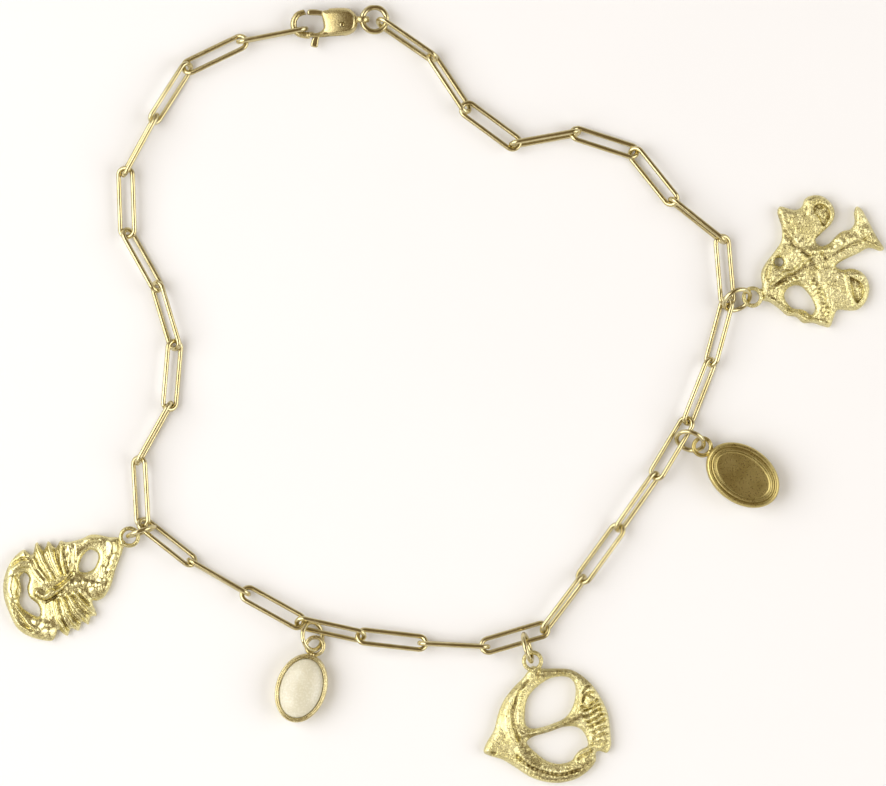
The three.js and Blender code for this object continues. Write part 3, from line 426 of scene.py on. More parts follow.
def closed_wire(path, radius, sides):
    """A closed tube along a flat closed path that runs counterclockwise."""
    path = np.asarray(path, float)
    along = np.roll(path, -1, 0) - np.roll(path, 1, 0)
    along /= np.linalg.norm(along, axis=1)[:, None]
    radii = np.broadcast_to(radius, len(path))
    points = []
    for (x, y), (ax, ay), r in zip(path, along, radii):
        for j in range(sides):
            turn = 2 * math.pi * j / sides
            inward, up = r * math.cos(turn), r * math.sin(turn)
            points.append((x - ay * inward, y + ax * inward, up))
    return np.array(points), tube_faces(len(path), sides, closed=True)


def wire_end(end, inner, radius):
    """Centres and radii that round off a wire beyond its end."""
    steps = 4
    tip_share = 0.02
    away = (end - inner) / np.linalg.norm(end - inner)
    turns = [math.pi / 2 * k / steps for k in range(1, steps + 1)]
    return [(end + away * radius * math.sin(turn), max(radius * math.cos(turn), radius * tip_share))
            for turn in turns]


def open_wire(path, radii, sides):
    """A tube along an open path in space, with rounded ends."""
    path = [np.array(place, float) for place in path]
    start = wire_end(path[0], path[1], radii[0])[::-1]
    line = start + list(zip(path, radii)) + wire_end(path[-1], path[-2], radii[-1])
    last = len(line) - 1
    points = []
    for i, (centre, radius) in enumerate(line):
        along = line[min(i + 1, last)][0] - line[max(i - 1, 0)][0]
        along /= np.linalg.norm(along)
        across = np.cross((0, 0, 1), along)
        across /= np.linalg.norm(across)
        up = np.cross(along, across)
        for j in range(sides):
            turn = 2 * math.pi * j / sides
            points.append(centre + radius * (across * math.cos(turn) + up * math.sin(turn)))
    return np.array(points), tube_faces(len(line), sides)


def link_path(length, width, steps):
    """The middle line of a link: two half circles joined by straight sides."""
    radius = width / 2
    reach = length / 2 - radius
    path = []
    for side in (1, -1):
        for k in range(steps + 1):
            turn = -side * math.pi / 2 + math.pi * k / steps
            path.append((side * reach + radius * math.cos(turn), radius * math.sin(turn)))
    return path


def round_path(radius, steps):
    turns = [2 * math.pi * k / steps for k in range(steps)]
    return [(radius * math.cos(turn), radius * math.sin(turn)) for turn in turns]


def merged(parts):
    """Several meshes as one list of points and faces."""
    points, faces, count = [], [], 0
    for part_points, part_faces in parts:
        points.append(np.asarray(part_points, float))
        faces += [tuple(index + count for index in face) for face in part_faces]
        count += len(part_points)
    return np.vstack(points), faces


def smooth_outline(rows, square, per_point=4, closed=True):
    """A smooth curve through the points of an outline, as a fine polygon."""
    p = np.array(rows, float) * square
    p = np.vstack([p[-1:], p, p[:2]] if closed else [p[:1], p, p[-1:]])
    out = []
    for a, b, c, d in zip(p, p[1:], p[2:], p[3:]):
        for k in range(per_point):
            t = k / per_point
            out.append(0.5 * (2 * b + (c - a) * t + (2 * a - 5 * b + 4 * c - d) * t * t
                              + (3 * b - 3 * c + d - a) * t ** 3))
    if not closed:
        out.append(p[-1])
    return np.array(out)


def stretch_distance(x, y, a, b):
    """Distance to one straight stretch, and how far along it the nearest point lies."""
    shortest = 1e-12
    run = b - a
    squared = max(float(run @ run), shortest)
    share = np.clip(((x - a[0]) * run[0] + (y - a[1]) * run[1]) / squared, 0, 1)
    far = np.hypot(x - a[0] - share * run[0], y - a[1] - share * run[1])
    return far, share * math.sqrt(squared)


def depth_inside(x, y, outlines):
    """Distance to the nearest edge of the outlines, positive in the metal."""
    nearest = np.full(x.shape, np.inf)
    inside = np.zeros(x.shape, bool)
    for outline in outlines:
        for a, b in zip(outline, np.roll(outline, -1, 0)):
            nearest = np.minimum(nearest, stretch_distance(x, y, a, b)[0])
            if a[1] != b[1]:
                spans = (a[1] > y) != (b[1] > y)
                inside ^= spans & (x < a[0] + (y - a[1]) / (b[1] - a[1]) * (b[0] - a[0]))
    return np.where(inside, nearest, -nearest)


def grain(x, y, pitch, seed):
    """Smooth seeded noise from -1 to 1 with bumps about one pitch apart."""
    table = np.random.default_rng(seed).uniform(-1, 1, (GRAIN_TABLE, GRAIN_TABLE))
    u = (x * math.cos(seed) - y * math.sin(seed)) / pitch
    v = (x * math.sin(seed) + y * math.cos(seed)) / pitch
    i, j = np.floor(u).astype(int), np.floor(v).astype(int)
    s, t = u - i, v - j
    s, t = s * s * (3 - 2 * s), t * t * (3 - 2 * t)
    i, j, i_next, j_next = (cell % GRAIN_TABLE for cell in (i, j, i + 1, j + 1))
    a, b, c, d = table[i, j], table[i_next, j], table[i, j_next], table[i_next, j_next]
    return (a * (1 - s) + b * s) * (1 - t) + (c * (1 - s) + d * s) * t


def layered_grain(x, y, layers, seed):
    """Layers of grain added up, each with the seed after the last one's."""
    return sum(height * grain(x, y, pitch, seed + k) for k, (height, pitch) in enumerate(layers))


def relief_rise(x, y, rows, thickness):
    """How far the ridges rise, or the grooves sink, in a shell charm's face."""
    raised, sunk = np.zeros(x.shape), np.zeros(x.shape)
    for path, width, rise, *bead_pitch in rows:
        line = np.array(path) * SHELL_SQUARE
        if len(path) > 2:
            line = smooth_outline(path, SHELL_SQUARE, 5, closed=False)
        nearest, along, gone = np.full(x.shape, np.inf), np.zeros(x.shape), 0
        for a, b in zip(line, line[1:]):
            far, share = stretch_distance(x, y, a, b)
            closer = far < nearest
            nearest = np.where(closer, far, nearest)
            along = np.where(closer, gone + share, along)
            gone += np.linalg.norm(b - a)
        share = np.clip(nearest / (width * SHELL_SQUARE / 2), 0, 1)
        built = RIDGE_SHARE if rise > 0 else GROOVE_SHARE
        height = rise * thickness * (1 - share ** 2) ** 2 * built
        if bead_pitch:
            beads = np.cos(2 * math.pi * along / (bead_pitch[0] * SHELL_SQUARE))
            height = height * (1 - BEAD_SWING + BEAD_SWING * beads)
        raised, sunk = np.maximum(raised, height), np.minimum(sunk, height)
    return raised + sunk


def pit_fall(x, y, pits, thickness):
    """How deep the steep pits sink in a shell charm's face."""
    fall = np.zeros(x.shape)
    for outline, depth in pits:
        share = np.clip(depth_inside(x, y, [smooth_outline(outline, SHELL_SQUARE)]) / PIT_WALL, 0, 1)
        fall = np.maximum(fall, depth * thickness * share * share * (3 - 2 * share))
    return fall


def softened(values, times):
    """The values with each replaced by the mean of its surroundings, several times over."""
    for _ in range(times):
        padded = np.pad(values, 1, mode="edge")
        values = (padded[:-2, 1:-1] + padded[2:, 1:-1] + padded[1:-1, :-2] + padded[1:-1, 2:]
                  + values) / 5
    return values


def plate_mesh(outlines, cell, middle, edge, top_face, under_face, painted_darkness=None):
    """A plate clipped to its outlines, whose two faces meet at the middle height along the edge.

    It gives points, faces and a mark for each point, which says how much painted shade the top face gets
    there: more where it lies below its softened surroundings, plus any painted darkness given."""
    near_corner = 0.05
    low, high = outlines[0].min(0), outlines[0].max(0)
    columns = math.ceil((high[0] - low[0]) / cell) + 2
    rows = math.ceil((high[1] - low[1]) / cell) + 2
    xs = low[0] + (np.arange(columns + 1) - 0.5) * cell
    ys = low[1] + (np.arange(rows + 1) - 0.5) * cell
    x, y = np.meshgrid(xs, ys)
    depth = depth_inside(x, y, outlines)
    rounding = np.sqrt(1 - (1 - np.clip(depth / edge, 0, 1)) ** 2)
    top = middle + (top_face(x, y, depth) - middle) * rounding
    under = middle + (under_face(x, y, depth) - middle) * rounding
    # Painted shade: the top face is marked darker where it lies below its softened surroundings.
    shade_mark = np.clip((softened(top, HOLLOW_STEPS) - top) * rounding, -1, 1)
    if painted_darkness is not None:
        shade_mark = shade_mark + painted_darkness(x, y)

    points, marks, faces, made = [], [], [], {}

    def vertex(key, px, py, pz, mark):
        if key not in made:
            made[key] = len(points)
            points.append((px, py, pz))
            marks.append(mark)
        return made[key]

    def corner(i, j, upper):
        if upper:
            return vertex((i, j, 1), xs[i], ys[j], top[j, i], shade_mark[j, i])
        return vertex((i, j, 0), xs[i], ys[j], under[j, i], 0)

    def crossing(i, j, across):
        other = depth[j, i + 1] if across else depth[j + 1, i]
        share = min(1 - near_corner, max(near_corner, depth[j, i] / (depth[j, i] - other)))
        px = xs[i] + (share * cell if across else 0)
        py = ys[j] + (0 if across else share * cell)
        return vertex((i, j, "across" if across else "up"), px, py, middle, 0)

    within = depth > 0
    for j in range(rows):
        for i in range(columns):
            held = (within[j, i], within[j, i + 1], within[j + 1, i + 1], within[j + 1, i])
            if not any(held):
                continue
            corners = ((i, j), (i + 1, j), (i + 1, j + 1), (i, j + 1))
            if all(held):
                faces.append(tuple(corner(*c, True) for c in corners))
                faces.append(tuple(corner(*c, False) for c in corners)[::-1])
                continue
            edges = ((i, j, True), (i + 1, j, False), (i, j + 1, True), (i, j, False))
            for upper in (True, False):
                loop = []
                for k in range(4):
                    if held[k]:
                        loop.append(corner(*corners[k], upper))
                    if held[k] != held[(k + 1) % 4]:
                        loop.append(crossing(*edges[k]))
                faces.append(tuple(loop) if upper else tuple(loop)[::-1])
    return np.array(points), faces, marks


def oval_lathe(profile, length, width, steps):
    """A solid turned on an oval plan. Each row of the profile is an inset from the edge and a height."""
    points = []
    for inset, z in profile:
        for k in range(steps):
            turn = 2 * math.pi * k / steps
            points.append(((length / 2 - inset) * math.cos(turn), (width / 2 - inset) * math.sin(turn), z))
    return np.array(points), tube_faces(len(profile), steps)


def placed(points, axes, middle):
    return np.asarray(points) @ np.asarray(axes) + np.asarray(middle)


def turned(points, place, flipped_at=None):
    """Points turned about the vertical and moved to a place, first turned over where a height is given."""
    points = np.array(points, float)
    if flipped_at is not None:
        points = points * (1, -1, -1) + (0, 0, flipped_at)
    angle = math.radians(place["turn"])
    spin = np.array([[math.cos(angle), math.sin(angle), 0], [-math.sin(angle), math.cos(angle), 0],
                     [0, 0, 1]])
    return points @ spin + ZERO + (place["x"], place["y"], 0)


# The span that most of a noise node's values lie in.
NOISE_RANGE = (0.3, 0.7)


class Nodes:
    """The node tree of a material or a world, with short calls to add and join its nodes."""

    def __init__(self, owner, shader="Principled BSDF"):
        owner.use_nodes = True
        self.owner = owner
        self.tree = owner.node_tree
        self.shader = self.tree.nodes[shader]

    def add(self, kind, **settings):
        node = self.tree.nodes.new(kind)
        for key, value in settings.items():
            setattr(node, key, value)
        return node

    def join(self, source, target):
        self.tree.links.new(source, target)

    def place_mm(self):
        """Places on the object in millimetres."""
        coordinates = self.add("ShaderNodeTexCoord")
        mapping = self.add("ShaderNodeMapping")
        mapping.inputs["Scale"].default_value = (1 / MM, 1 / MM, 1 / MM)
        self.join(coordinates.outputs["Object"], mapping.inputs["Vector"])
        return mapping.outputs["Vector"]

    def noise(self, place, scale, detail, roughness=0.5):
        node = self.add("ShaderNodeTexNoise")
        node.inputs["Scale"].default_value = scale
        node.inputs["Detail"].default_value = detail
        node.inputs["Roughness"].default_value = roughness
        self.join(place, node.inputs["Vector"])
        return node.outputs["Fac"]

    def spread(self, value, low, high, to_low, to_high):
        node = self.add("ShaderNodeMapRange")
        node.inputs["From Min"].default_value = low
        node.inputs["From Max"].default_value = high
        node.inputs["To Min"].default_value = to_low
        node.inputs["To Max"].default_value = to_high
        self.join(value, node.inputs["Value"])
        return node.outputs["Result"]

    def mix(self, factor, first, second):
        node = self.add("ShaderNodeMix", data_type="RGBA")
        self.join(factor, node.inputs["Factor"])
        for socket, value in (("A", first), ("B", second)):
            target = [s for s in node.inputs if s.name == socket and s.type == "RGBA"][0]
            if isinstance(value, tuple):
                target.default_value = (*value, 1)
            else:
                self.join(value, target)
        return [s for s in node.outputs if s.type == "RGBA"][0]

    def bump(self, height, distance, before=None):
        node = self.add("ShaderNodeBump")
        node.inputs["Distance"].default_value = distance * MM
        node.inputs["Strength"].default_value = 1
        self.join(height, node.inputs["Height"])
        if before is not None:
            self.join(before, node.inputs["Normal"])
        return node.outputs["Normal"]


def gold(name, pale, deep, roughness, grain_pitch, grain_depth, painted_shade_colour=None):
    """Yellow gold: slight colour drift, uneven polish and fine grain, with patchy painted shade where a
    shade colour is given.
    """
    drift_scale, drift_range = 0.7, (0.35, 0.65)
    scratch_scale, scratch_share = 14, 0.3
    smoothest, roughest = roughness * 0.8, roughness * 1.25
    patchiness, fully_dark = 0.09, 0.23
    m = Nodes(bpy.data.materials.new(name))
    place = m.place_mm()
    drift = m.noise(place, drift_scale, 4)
    fine = m.noise(place, 1 / grain_pitch, 4, 0.6)
    colour = m.mix(m.spread(drift, *drift_range, 0, 1), pale, deep)
    rough = m.spread(fine, *NOISE_RANGE, smoothest, roughest)
    # Painted shade: the points' marks, made patchy by the grain, mix the colour towards a dark brown.
    if painted_shade_colour is not None:
        attribute = m.add("ShaderNodeAttribute", attribute_name="painted_shade")
        uneven = m.add("ShaderNodeMath", operation="ADD")
        m.join(attribute.outputs["Fac"], uneven.inputs[0])
        m.join(m.spread(fine, *NOISE_RANGE, -patchiness, patchiness), uneven.inputs[1])
        sunk = m.spread(uneven.outputs["Value"], 0, fully_dark, 0, 1)
        colour = m.mix(sunk, colour, painted_shade_colour)
    scratches = m.noise(place, scratch_scale, 2)
    normal = m.bump(fine, grain_depth)
    normal = m.bump(scratches, grain_depth * scratch_share, before=normal)
    m.join(colour, m.shader.inputs["Base Color"])
    m.join(rough, m.shader.inputs["Roughness"])
    m.join(normal, m.shader.inputs["Normal"])
    m.shader.inputs["Metallic"].default_value = 1
    return m.owner


def stone(name):
    """Pale, glossy and slightly cloudy."""
    cream, shade, fleck = (0.76, 0.725, 0.57), (0.69, 0.65, 0.49), (0.83, 0.81, 0.7)
    cloud_scale, speck_scale, speck_depth = 0.5, 5, 0.012
    fleck_range, fleck_share = (0.5, 0.75), 0.6
    smoothest, roughest = 0.2, 0.32
    m = Nodes(bpy.data.materials.new(name))
    place = m.place_mm()
    cloud = m.noise(place, cloud_scale, 4, 0.6)
    speck = m.noise(place, speck_scale, 3)
    colour = m.mix(m.spread(cloud, *NOISE_RANGE, 0, 1), cream, shade)
    colour = m.mix(m.spread(speck, *fleck_range, 0, fleck_share), colour, fleck)
    m.join(colour, m.shader.inputs["Base Color"])
    m.join(m.spread(speck, *NOISE_RANGE, smoothest, roughest), m.shader.inputs["Roughness"])
    m.join(m.bump(speck, speck_depth), m.shader.inputs["Normal"])
    m.shader.inputs["Subsurface Weight"].default_value = 0.25
    m.shader.inputs["Subsurface Radius"].default_value = (1, 0.9, 0.7)
    m.shader.inputs["Subsurface Scale"].default_value = 0.4 * MM
    m.shader.inputs["Coat Weight"].default_value = 0.15
    m.shader.inputs["Coat Roughness"].default_value = 0.1
    return m.owner


polished = gold("polished_gold", (0.67, 0.59, 0.34), (0.57, 0.485, 0.245),
                roughness=0.2, grain_pitch=0.5, grain_depth=0.006)
# The cast golds' last colour is the dark brown of their painted shade.
cast = gold("cast_gold", (0.84, 0.77, 0.42), (0.74, 0.66, 0.31),
            roughness=0.26, grain_pitch=0.22, grain_depth=0.08, painted_shade_colour=(0.2, 0.14, 0.045))
smooth_cast = gold("smooth_cast_gold", (0.84, 0.77, 0.42), (0.74, 0.66, 0.31),
                   roughness=0.26, grain_pitch=0.22, grain_depth=0.035, painted_shade_colour=(0.17, 0.12, 0.035))
brushed = gold("brushed_gold", (0.6, 0.51, 0.26), (0.5, 0.41, 0.18),
               roughness=0.27, grain_pitch=0.18, grain_depth=0.012)
satin = gold("satin_gold", (0.6, 0.505, 0.21), (0.48, 0.385, 0.14),
             roughness=0.3, grain_pitch=0.18, grain_depth=0.02)
rim_gold = gold("rim_gold", (0.74, 0.66, 0.38), (0.6, 0.51, 0.26),
                roughness=0.26, grain_pitch=0.4, grain_depth=0.04)
ivory = stone("pale_stone")


# The chain and its rings.
def ring_shape(outer, wire, seam=True):
    """A ring of round wire, with a fine cut across it where its ends meet."""
    radii = np.full(RING_STEPS, wire / 2)
    if seam:
        radii[RING_STEPS // 8] *= SEAM_SHARE
    return closed_wire(round_path((outer - wire) / 2, RING_STEPS), radii, WIRE_SIDES)


def add_wire(node, shape):
    """A smooth link or ring in the place of its solid."""
    points, faces = shape
    middle, axes = node_frame(node)
    add_piece(node, placed(points, axes, middle), faces, polished)


link_line = link_path(LINK_LENGTH - LINK_WIRE, LINK_WIDTH - LINK_WIRE, LINK_END_STEPS)
link_shape = closed_wire(link_line, LINK_WIRE / 2, WIRE_SIDES)
jump_ring_shape = ring_shape(JUMP_RING_OUTER, JUMP_RING_WIRE)
for node in sorted(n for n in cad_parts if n.startswith("link_")):
    add_wire(node, link_shape)
for node in sorted(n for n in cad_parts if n.endswith("jump_ring")):
    add_wire(node, jump_ring_shape)
add_wire("end_ring", ring_shape(END_RING_OUTER, END_RING_WIRE, seam=False))


# The clasp.
clasp_zero = ZERO + (*CLASP_PLACE, 0)
clasp_middle = CLASP_THICKNESS / 2


def read_back(thing):
    """The points and faces of an object with its modifiers, and the object gone."""
    evaluated = thing.evaluated_get(bpy.context.evaluated_depsgraph_get())
    mesh = evaluated.to_mesh()
    points = np.array([vertex.co for vertex in mesh.vertices])
    faces = [tuple(face.vertices) for face in mesh.polygons]
    evaluated.to_mesh_clear()
    bpy.data.objects.remove(thing)
    return points, faces


def prism(outline, low, high):
    count = len(outline)
    points = [(x, y, low) for x, y in outline] + [(x, y, high) for x, y in outline]
    faces = [tuple(range(count))[::-1], tuple(range(count, 2 * count))]
    faces += [(k, (k + 1) % count, (k + 1) % count + count, k + count) for k in range(count)]
    return np.array(points), faces


def clasp_bulge(x, y):
    """Half the clasp body's thickness: a dome across it that falls away towards the hook."""
    crest_x, crest_y, dome_reach = 0.5, 0.22, 2.2
    fall, flattest, thinnest = 0.055, 0.1, 0.62
    dome = np.sqrt(np.clip(1 - ((y - crest_y) / dome_reach) ** 2, flattest, 1))
    return np.clip(clasp_middle * dome - fall * (x - crest_x) ** 2, thinnest, clasp_middle)


def clasp_body_mesh():
    """The body, hook and tail loop as one skin, with the lever's slot and the pin's bore cut out of it."""
    bean_cell, bean_edge = 0.09, 0.5
    tail_steps, tail_sides = 48, 16
    hook_shares, hook_radii = [0, 0.3, 0.75, 1], [0.36, 0.34, 0.32, 0.27]
    bean, bean_faces, _ = plate_mesh(
        [smooth_outline(CLASP_BODY, CLASP_SQUARE)], bean_cell, clasp_middle, bean_edge,
        lambda x, y, d: clasp_middle + clasp_bulge(x, y), lambda x, y, d: clasp_middle - clasp_bulge(x, y))
    hook = smooth_outline(CLASP_HOOK, CLASP_SQUARE, 6, closed=False)
    hook_line = [(x, y, clasp_middle) for x, y in hook]
    radii = np.interp(np.linspace(0, 1, len(hook)), hook_shares, hook_radii)
    tail, tail_faces = closed_wire(round_path(TAIL_RADIUS, tail_steps), TAIL_WIRE / 2, tail_sides)
    tail = tail * (1, 1, TAIL_BREADTH / TAIL_WIRE)
    tail = tail[:, [0, 2, 1]] * (1, -1, 1) + (
        CLASP_TAIL_CENTRE[0] * CLASP_SQUARE, CLASP_TAIL_CENTRE[1] * CLASP_SQUARE, clasp_middle)
    whole = merged([(bean, bean_faces), open_wire(hook_line, radii, WIRE_SIDES), (tail, tail_faces)])
    thing = new_object("clasp_whole", *whole)
    fuse = thing.modifiers.new("fuse", "REMESH")
    fuse.mode = "VOXEL"
    fuse.voxel_size = 0.05
    ease = thing.modifiers.new("ease", "SMOOTH")
    ease.iterations = 8
    slot_outline = np.array(CLASP_SLOT) * CLASP_SQUARE
    slot_half = LEVER_THICKNESS / 2 + RUNNING_GAP
    bore_outline = round_path(PIN_WIDTH / 2 + PIN_FIT, CIRCLE_STEPS)
    cutters = [
        new_object("slot", *prism(slot_outline, clasp_middle - slot_half, clasp_middle + slot_half)),
        new_object("bore", *prism(bore_outline, -1, CLASP_THICKNESS + 1)),
    ]
    for cutter in cutters:
        cut = thing.modifiers.new("cut", "BOOLEAN")
        cut.operation = "DIFFERENCE"
        cut.object = cutter
        cut.solver = "EXACT"
    points, faces = read_back(thing)
    for cutter in cutters:
        bpy.data.objects.remove(cutter)
    return points, faces


def clasp_lever_mesh():
    lever_cell, lever_edge = 0.06, 0.18
    low = clasp_middle - LEVER_THICKNESS / 2
    high = low + LEVER_THICKNESS
    bore = np.array(round_path(PIN_WIDTH / 2 + RUNNING_GAP, CIRCLE_STEPS))
    points, faces, _ = plate_mesh(
        [smooth_outline(CLASP_LEVER, CLASP_SQUARE), bore], lever_cell, clasp_middle, lever_edge,
        lambda x, y, d: np.full(x.shape, high), lambda x, y, d: np.full(x.shape, low))
    return points, faces


def clasp_pin_mesh():
    """A rivet whose two ends are chamfered and lie a little below the clasp's faces."""
    low, high = PIN_RECESS, CLASP_THICKNESS - PIN_RECESS
    profile = [(0.12, low), (0.03, low + 0.03), (0, low + 0.1),
               (0, high - 0.1), (0.03, high - 0.03), (0.12, high)]
    return oval_lathe(profile, PIN_WIDTH, PIN_WIDTH, CIRCLE_STEPS)


points, faces = clasp_body_mesh()
add_piece("clasp_body", points + clasp_zero, faces, brushed, crease=40)
points, faces = clasp_lever_mesh()
add_piece("clasp_lever", points + clasp_zero, faces, polished, body="lever")
points, faces = clasp_pin_mesh()
add_piece("clasp_pin", points + clasp_zero, faces, polished)


# The two oval charms.
def charm_loop(x, y):
    points, faces = ring_shape(CHARM_LOOP_OUTER, CHARM_LOOP_WIRE, seam=False)
    return points + (x, y, CHARM_LOOP_HEIGHT), faces


def solder(x, y, z, reach, width):
    """A soft mound of solder."""
    rows, sides = 9, 20
    tip = 0.02
    points = []
    for k in range(rows):
        turn = math.pi * (tip + (1 - 2 * tip) * k / (rows - 1)) - math.pi / 2
        for j in range(sides):
            around = 2 * math.pi * j / sides
            points.append((x + reach * math.cos(turn) * math.cos(around),
                           y + width * math.cos(turn) * math.sin(around), z + width * math.sin(turn)))
    return np.array(points), tube_faces(rows, sides)


def setting_mesh(sizes, profile):
    mound_reach, mound_width, mound_out = 0.26, 0.3, 0.02
    tip = sizes["length"] / 2
    return merged([
        oval_lathe(profile, sizes["length"], sizes["width"], OVAL_STEPS),
        charm_loop(tip + CHARM_LOOP_OUTER / 2 - SOLDER_OVERLAP, 0),
        solder(tip + mound_out, 0, CHARM_LOOP_HEIGHT, mound_reach, mound_width),
    ])


def stone_mesh(sizes):
    seat = sizes["wall"] + STONE_FIT
    base = sizes["floor"] + RUNNING_GAP
    girdle = sizes["height"] - GIRDLE_BELOW_RIM
    reach = sizes["width"] / 2 - seat
    profile = [(seat + STONE_CHAMFER, base), (seat, base + STONE_CHAMFER), (seat, girdle)]
    for k in range(1, DOME_STEPS):
        turn = k / DOME_STEPS * math.pi / 2
        profile.append((seat + reach * (1 - math.cos(turn)),
                        girdle + (sizes["dome"] - girdle) * math.sin(turn)))
    return oval_lathe(profile, sizes["length"], sizes["width"], OVAL_STEPS)


def add_oval_charm(name, sizes, place, profile, metal, flipped_at=None):
    """A setting and its stone. The profile is the setting's, as insets from its edge and heights."""
    points, faces = setting_mesh(sizes, profile)
    add_piece(name + "_setting", turned(points, place, flipped_at), faces, metal, crease=70)
    points, faces = stone_mesh(sizes)
    add_piece(name + "_stone", turned(points, place, flipped_at), faces, ivory, crease=70)


# A cup with a line round its side, whose rim has a round outer lip and a lower inner one.
rim = CABOCHON["height"]
add_oval_charm("cabochon", CABOCHON, CABOCHON_PLACE, [
    (0.2, 0), (0.06, 0.06), (0, 0.2), (0, 0.5), (0.03, 0.56), (0, 0.62), (0, rim - 0.22),
    (0.03, rim - 0.1), (0.09, rim - 0.02), (0.16, rim), (0.22, rim - 0.05), (0.25, rim - 0.08),
    (0.28, rim - 0.04), (0.34, rim - 0.03), (0.4, rim - 0.07), (CABOCHON["wall"], rim - 0.15),
    (CABOCHON["wall"], CABOCHON["floor"]),
], rim_gold)

# A cup with a stepped back: a sunk middle, a fine ridge and groove round it, and a wide rounded band.
rim = TURNED_OVAL["height"]
add_oval_charm("turned_oval", TURNED_OVAL, TURNED_OVAL_PLACE, [
    (1.1, 0.14), (1.04, 0.13), (1, 0.08), (0.96, 0.02), (0.91, 0.03), (0.88, 0.12), (0.85, 0.03),
    (0.78, 0.01), (0.62, 0.02), (0.56, 0.05), (0.52, 0.17), (0.48, 0.17), (0.44, 0.05), (0.38, 0.02),
    (0.26, 0.02), (0.14, 0.08), (0.05, 0.2), (0, 0.36), (0, rim - 0.15), (0.06, rim - 0.05),
    (0.25, rim), (TURNED_OVAL["wall"], rim - 0.15), (TURNED_OVAL["wall"], TURNED_OVAL["floor"]),
], satin, flipped_at=TURNED_OVAL["dome"])


# The three shell charms.
def add_shell(node, shell, material):
    """A cast plate with low relief on top, a flat underside and a soldered loop at its root."""
    thickness = shell["thickness"]
    plain = 0.75 * thickness
    swell = 0.12 * thickness
    swell_reach = 0.15 * SHELL_SQUARE
    edge_middle = 0.4 * thickness
    mound_size, mound_drop = 0.32, 0.1
    wobble_x_seed = shell["seed"] + len(ROUGH_LAYERS)
    wobble_y_seed = wobble_x_seed + len(WOBBLE_LAYERS)

    def top_face(x, y, d):
        wobble_x = x + layered_grain(x, y, WOBBLE_LAYERS, wobble_x_seed)
        wobble_y = y + layered_grain(x, y, WOBBLE_LAYERS, wobble_y_seed)
        return (plain + swell * np.clip(d / swell_reach, 0, 1)
                + relief_rise(wobble_x, wobble_y, shell["relief"], thickness)
                - pit_fall(x, y, shell.get("pits", []), thickness)
                + shell["grain"] * layered_grain(x, y, ROUGH_LAYERS, shell["seed"]))

    def under_face(x, y, d):
        return np.zeros(x.shape)

    # Painted shade: dark streaks where the relief falls away from the light.
    def patina(x, y):
        return PAINTED_SHADE_STRENGTH * relief_rise(x, y, shell["patina"], 1)

    outlines = [smooth_outline(rows, SHELL_SQUARE) for rows in [shell["outline"], *shell["gaps"]]]
    points, faces, marks = plate_mesh(
        outlines, SHELL_CELL, edge_middle, edge_middle, top_face, under_face, patina)
    reach = CHARM_LOOP_OUTER / 2 - SOLDER_OVERLAP
    angle = math.radians(shell["heading"])
    root_x, root_y = shell["root"][0] * SHELL_SQUARE, shell["root"][1] * SHELL_SQUARE
    loop_x, loop_y = root_x + reach * math.cos(angle), root_y + reach * math.sin(angle)
    mound = solder(root_x, root_y, CHARM_LOOP_HEIGHT - mound_drop, mound_size, mound_size)
    points, faces = merged([(points, faces), charm_loop(loop_x, loop_y), mound])
    marks = marks + [LOOP_DARKNESS] * (len(points) - len(marks))
    points = points + ZERO + (shell["x"] - loop_x, shell["y"] - loop_y, 0)
    add_piece(node, points, faces, material, crease=80, marks=marks)


add_shell("left_shell", LEFT_SHELL, smooth_cast)
add_shell("bottom_shell", BOTTOM_SHELL, cast)
add_shell("right_shell", RIGHT_SHELL, cast)


# The floor, the light and the camera.
def add_floor():
    size = 1.5
    drift_scale = 0.05
    corners = [(-size, -size, 0), (size, -size, 0), (size, size, 0), (-size, size, 0)]
    floor = new_object("floor", corners, [(0, 1, 2, 3)])
    m = Nodes(bpy.data.materials.new("floor"))
    drift = m.noise(m.place_mm(), drift_scale, 2)
    colour = m.mix(drift, (0.9, 0.9, 0.91), (0.92, 0.92, 0.93))
    m.join(colour, m.shader.inputs["Base Color"])
    m.shader.inputs["Roughness"].default_value = 0.6
    m.shader.inputs["Specular IOR Level"].default_value = 0.2
    floor.data.materials.append(m.owner)


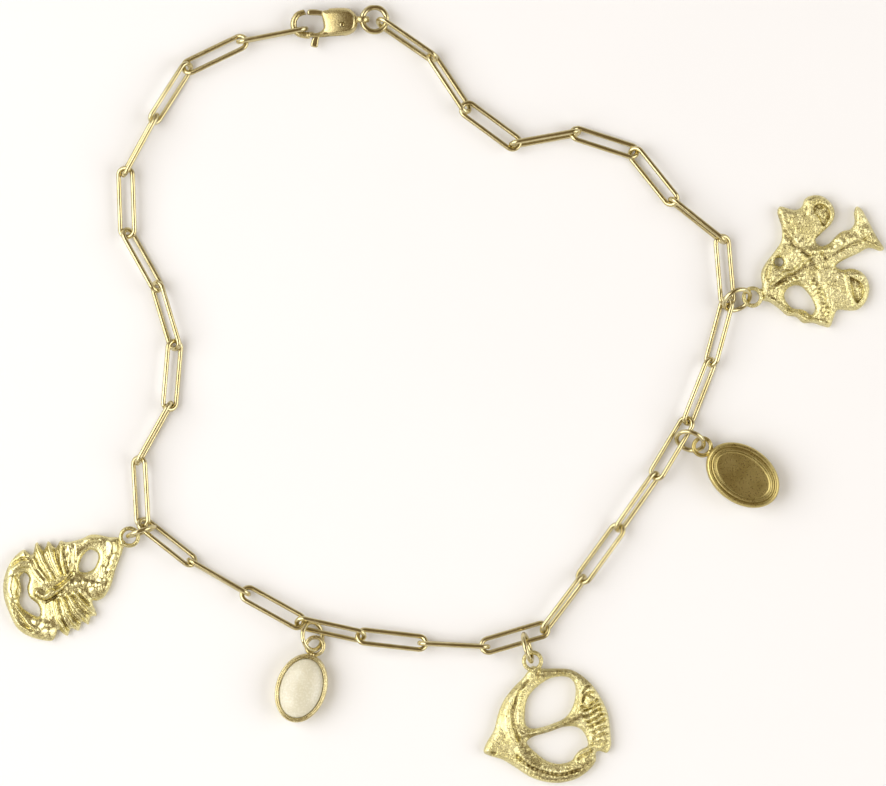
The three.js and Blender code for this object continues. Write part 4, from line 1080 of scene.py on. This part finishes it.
def add_softbox(name, heading, elevation, brightness, width, height):
    """A large soft light that faces the bracelet; heading is counterclockwise from the right."""
    away = 0.5
    data = bpy.data.lights.new(name, "AREA")
    data.shape = "RECTANGLE"
    data.size = width
    data.size_y = height
    data.energy = brightness * math.pi * width * height
    lamp = bpy.data.objects.new(name, data)
    h, e = math.radians(heading), math.radians(elevation)
    lamp.location = (away * math.cos(e) * math.cos(h), away * math.cos(e) * math.sin(h), away * math.sin(e))
    lamp.rotation_euler = (-Vector(lamp.location)).to_track_quat("-Z", "Y").to_euler()
    bpy.context.collection.objects.link(lamp)


def add_sky():
    """Dim overhead, brighter towards left and right, so that polished metal has dark middles."""
    w = Nodes(bpy.data.worlds.new("studio"), "Background")
    front_and_back = 0.5
    split = w.add("ShaderNodeSeparateXYZ")
    sideways = w.add("ShaderNodeMath", operation="ABSOLUTE")
    height = w.add("ShaderNodeMath", operation="MULTIPLY_ADD")
    height.inputs[1].default_value = front_and_back
    ramp = w.add("ShaderNodeValToRGB")
    w.join(w.add("ShaderNodeTexCoord").outputs["Generated"], split.inputs["Vector"])
    w.join(split.outputs["Y"], sideways.inputs[0])
    w.join(sideways.outputs["Value"], height.inputs[0])
    w.join(split.outputs["Z"], height.inputs[2])
    w.join(height.outputs["Value"], ramp.inputs["Fac"])
    w.join(ramp.outputs["Color"], w.shader.inputs["Color"])
    low, high = ramp.color_ramp.elements
    low.position, low.color = 0.1, (0.78, 0.82, 0.88, 1)
    high.position, high.color = 0.9, (0.2, 0.14, 0.07, 1)
    w.shader.inputs["Strength"].default_value = 1
    bpy.context.scene.world = w.owner


def add_camera():
    view_width, object_height = 88.6, 0.9
    lens, sensor = 300, 36
    data = bpy.data.cameras.new("camera")
    data.lens = lens
    data.sensor_width = sensor
    camera = bpy.data.objects.new("camera", data)
    distance = view_width * lens / sensor
    camera.location = Vector((ZERO[0], ZERO[1], object_height + distance)) * MM
    bpy.context.collection.objects.link(camera)
    bpy.context.scene.camera = camera


# Soft lights: name, heading and elevation in degrees, brightness, width and height in metres.
SOFTBOXES = (
    ("left_light", 180, 44, 2.9, 0.6, 0.5),
    ("right_light", 350, 35, 2.4, 0.5, 0.35),
    ("front_light", 262, 30, 0.9, 0.45, 0.22),
    ("back_light", 110, 28, 0.5, 0.4, 0.2),
)

add_floor()
for softbox in SOFTBOXES:
    add_softbox(*softbox)
add_sky()
add_camera()
bpy.context.scene.view_settings.view_transform = "Standard"
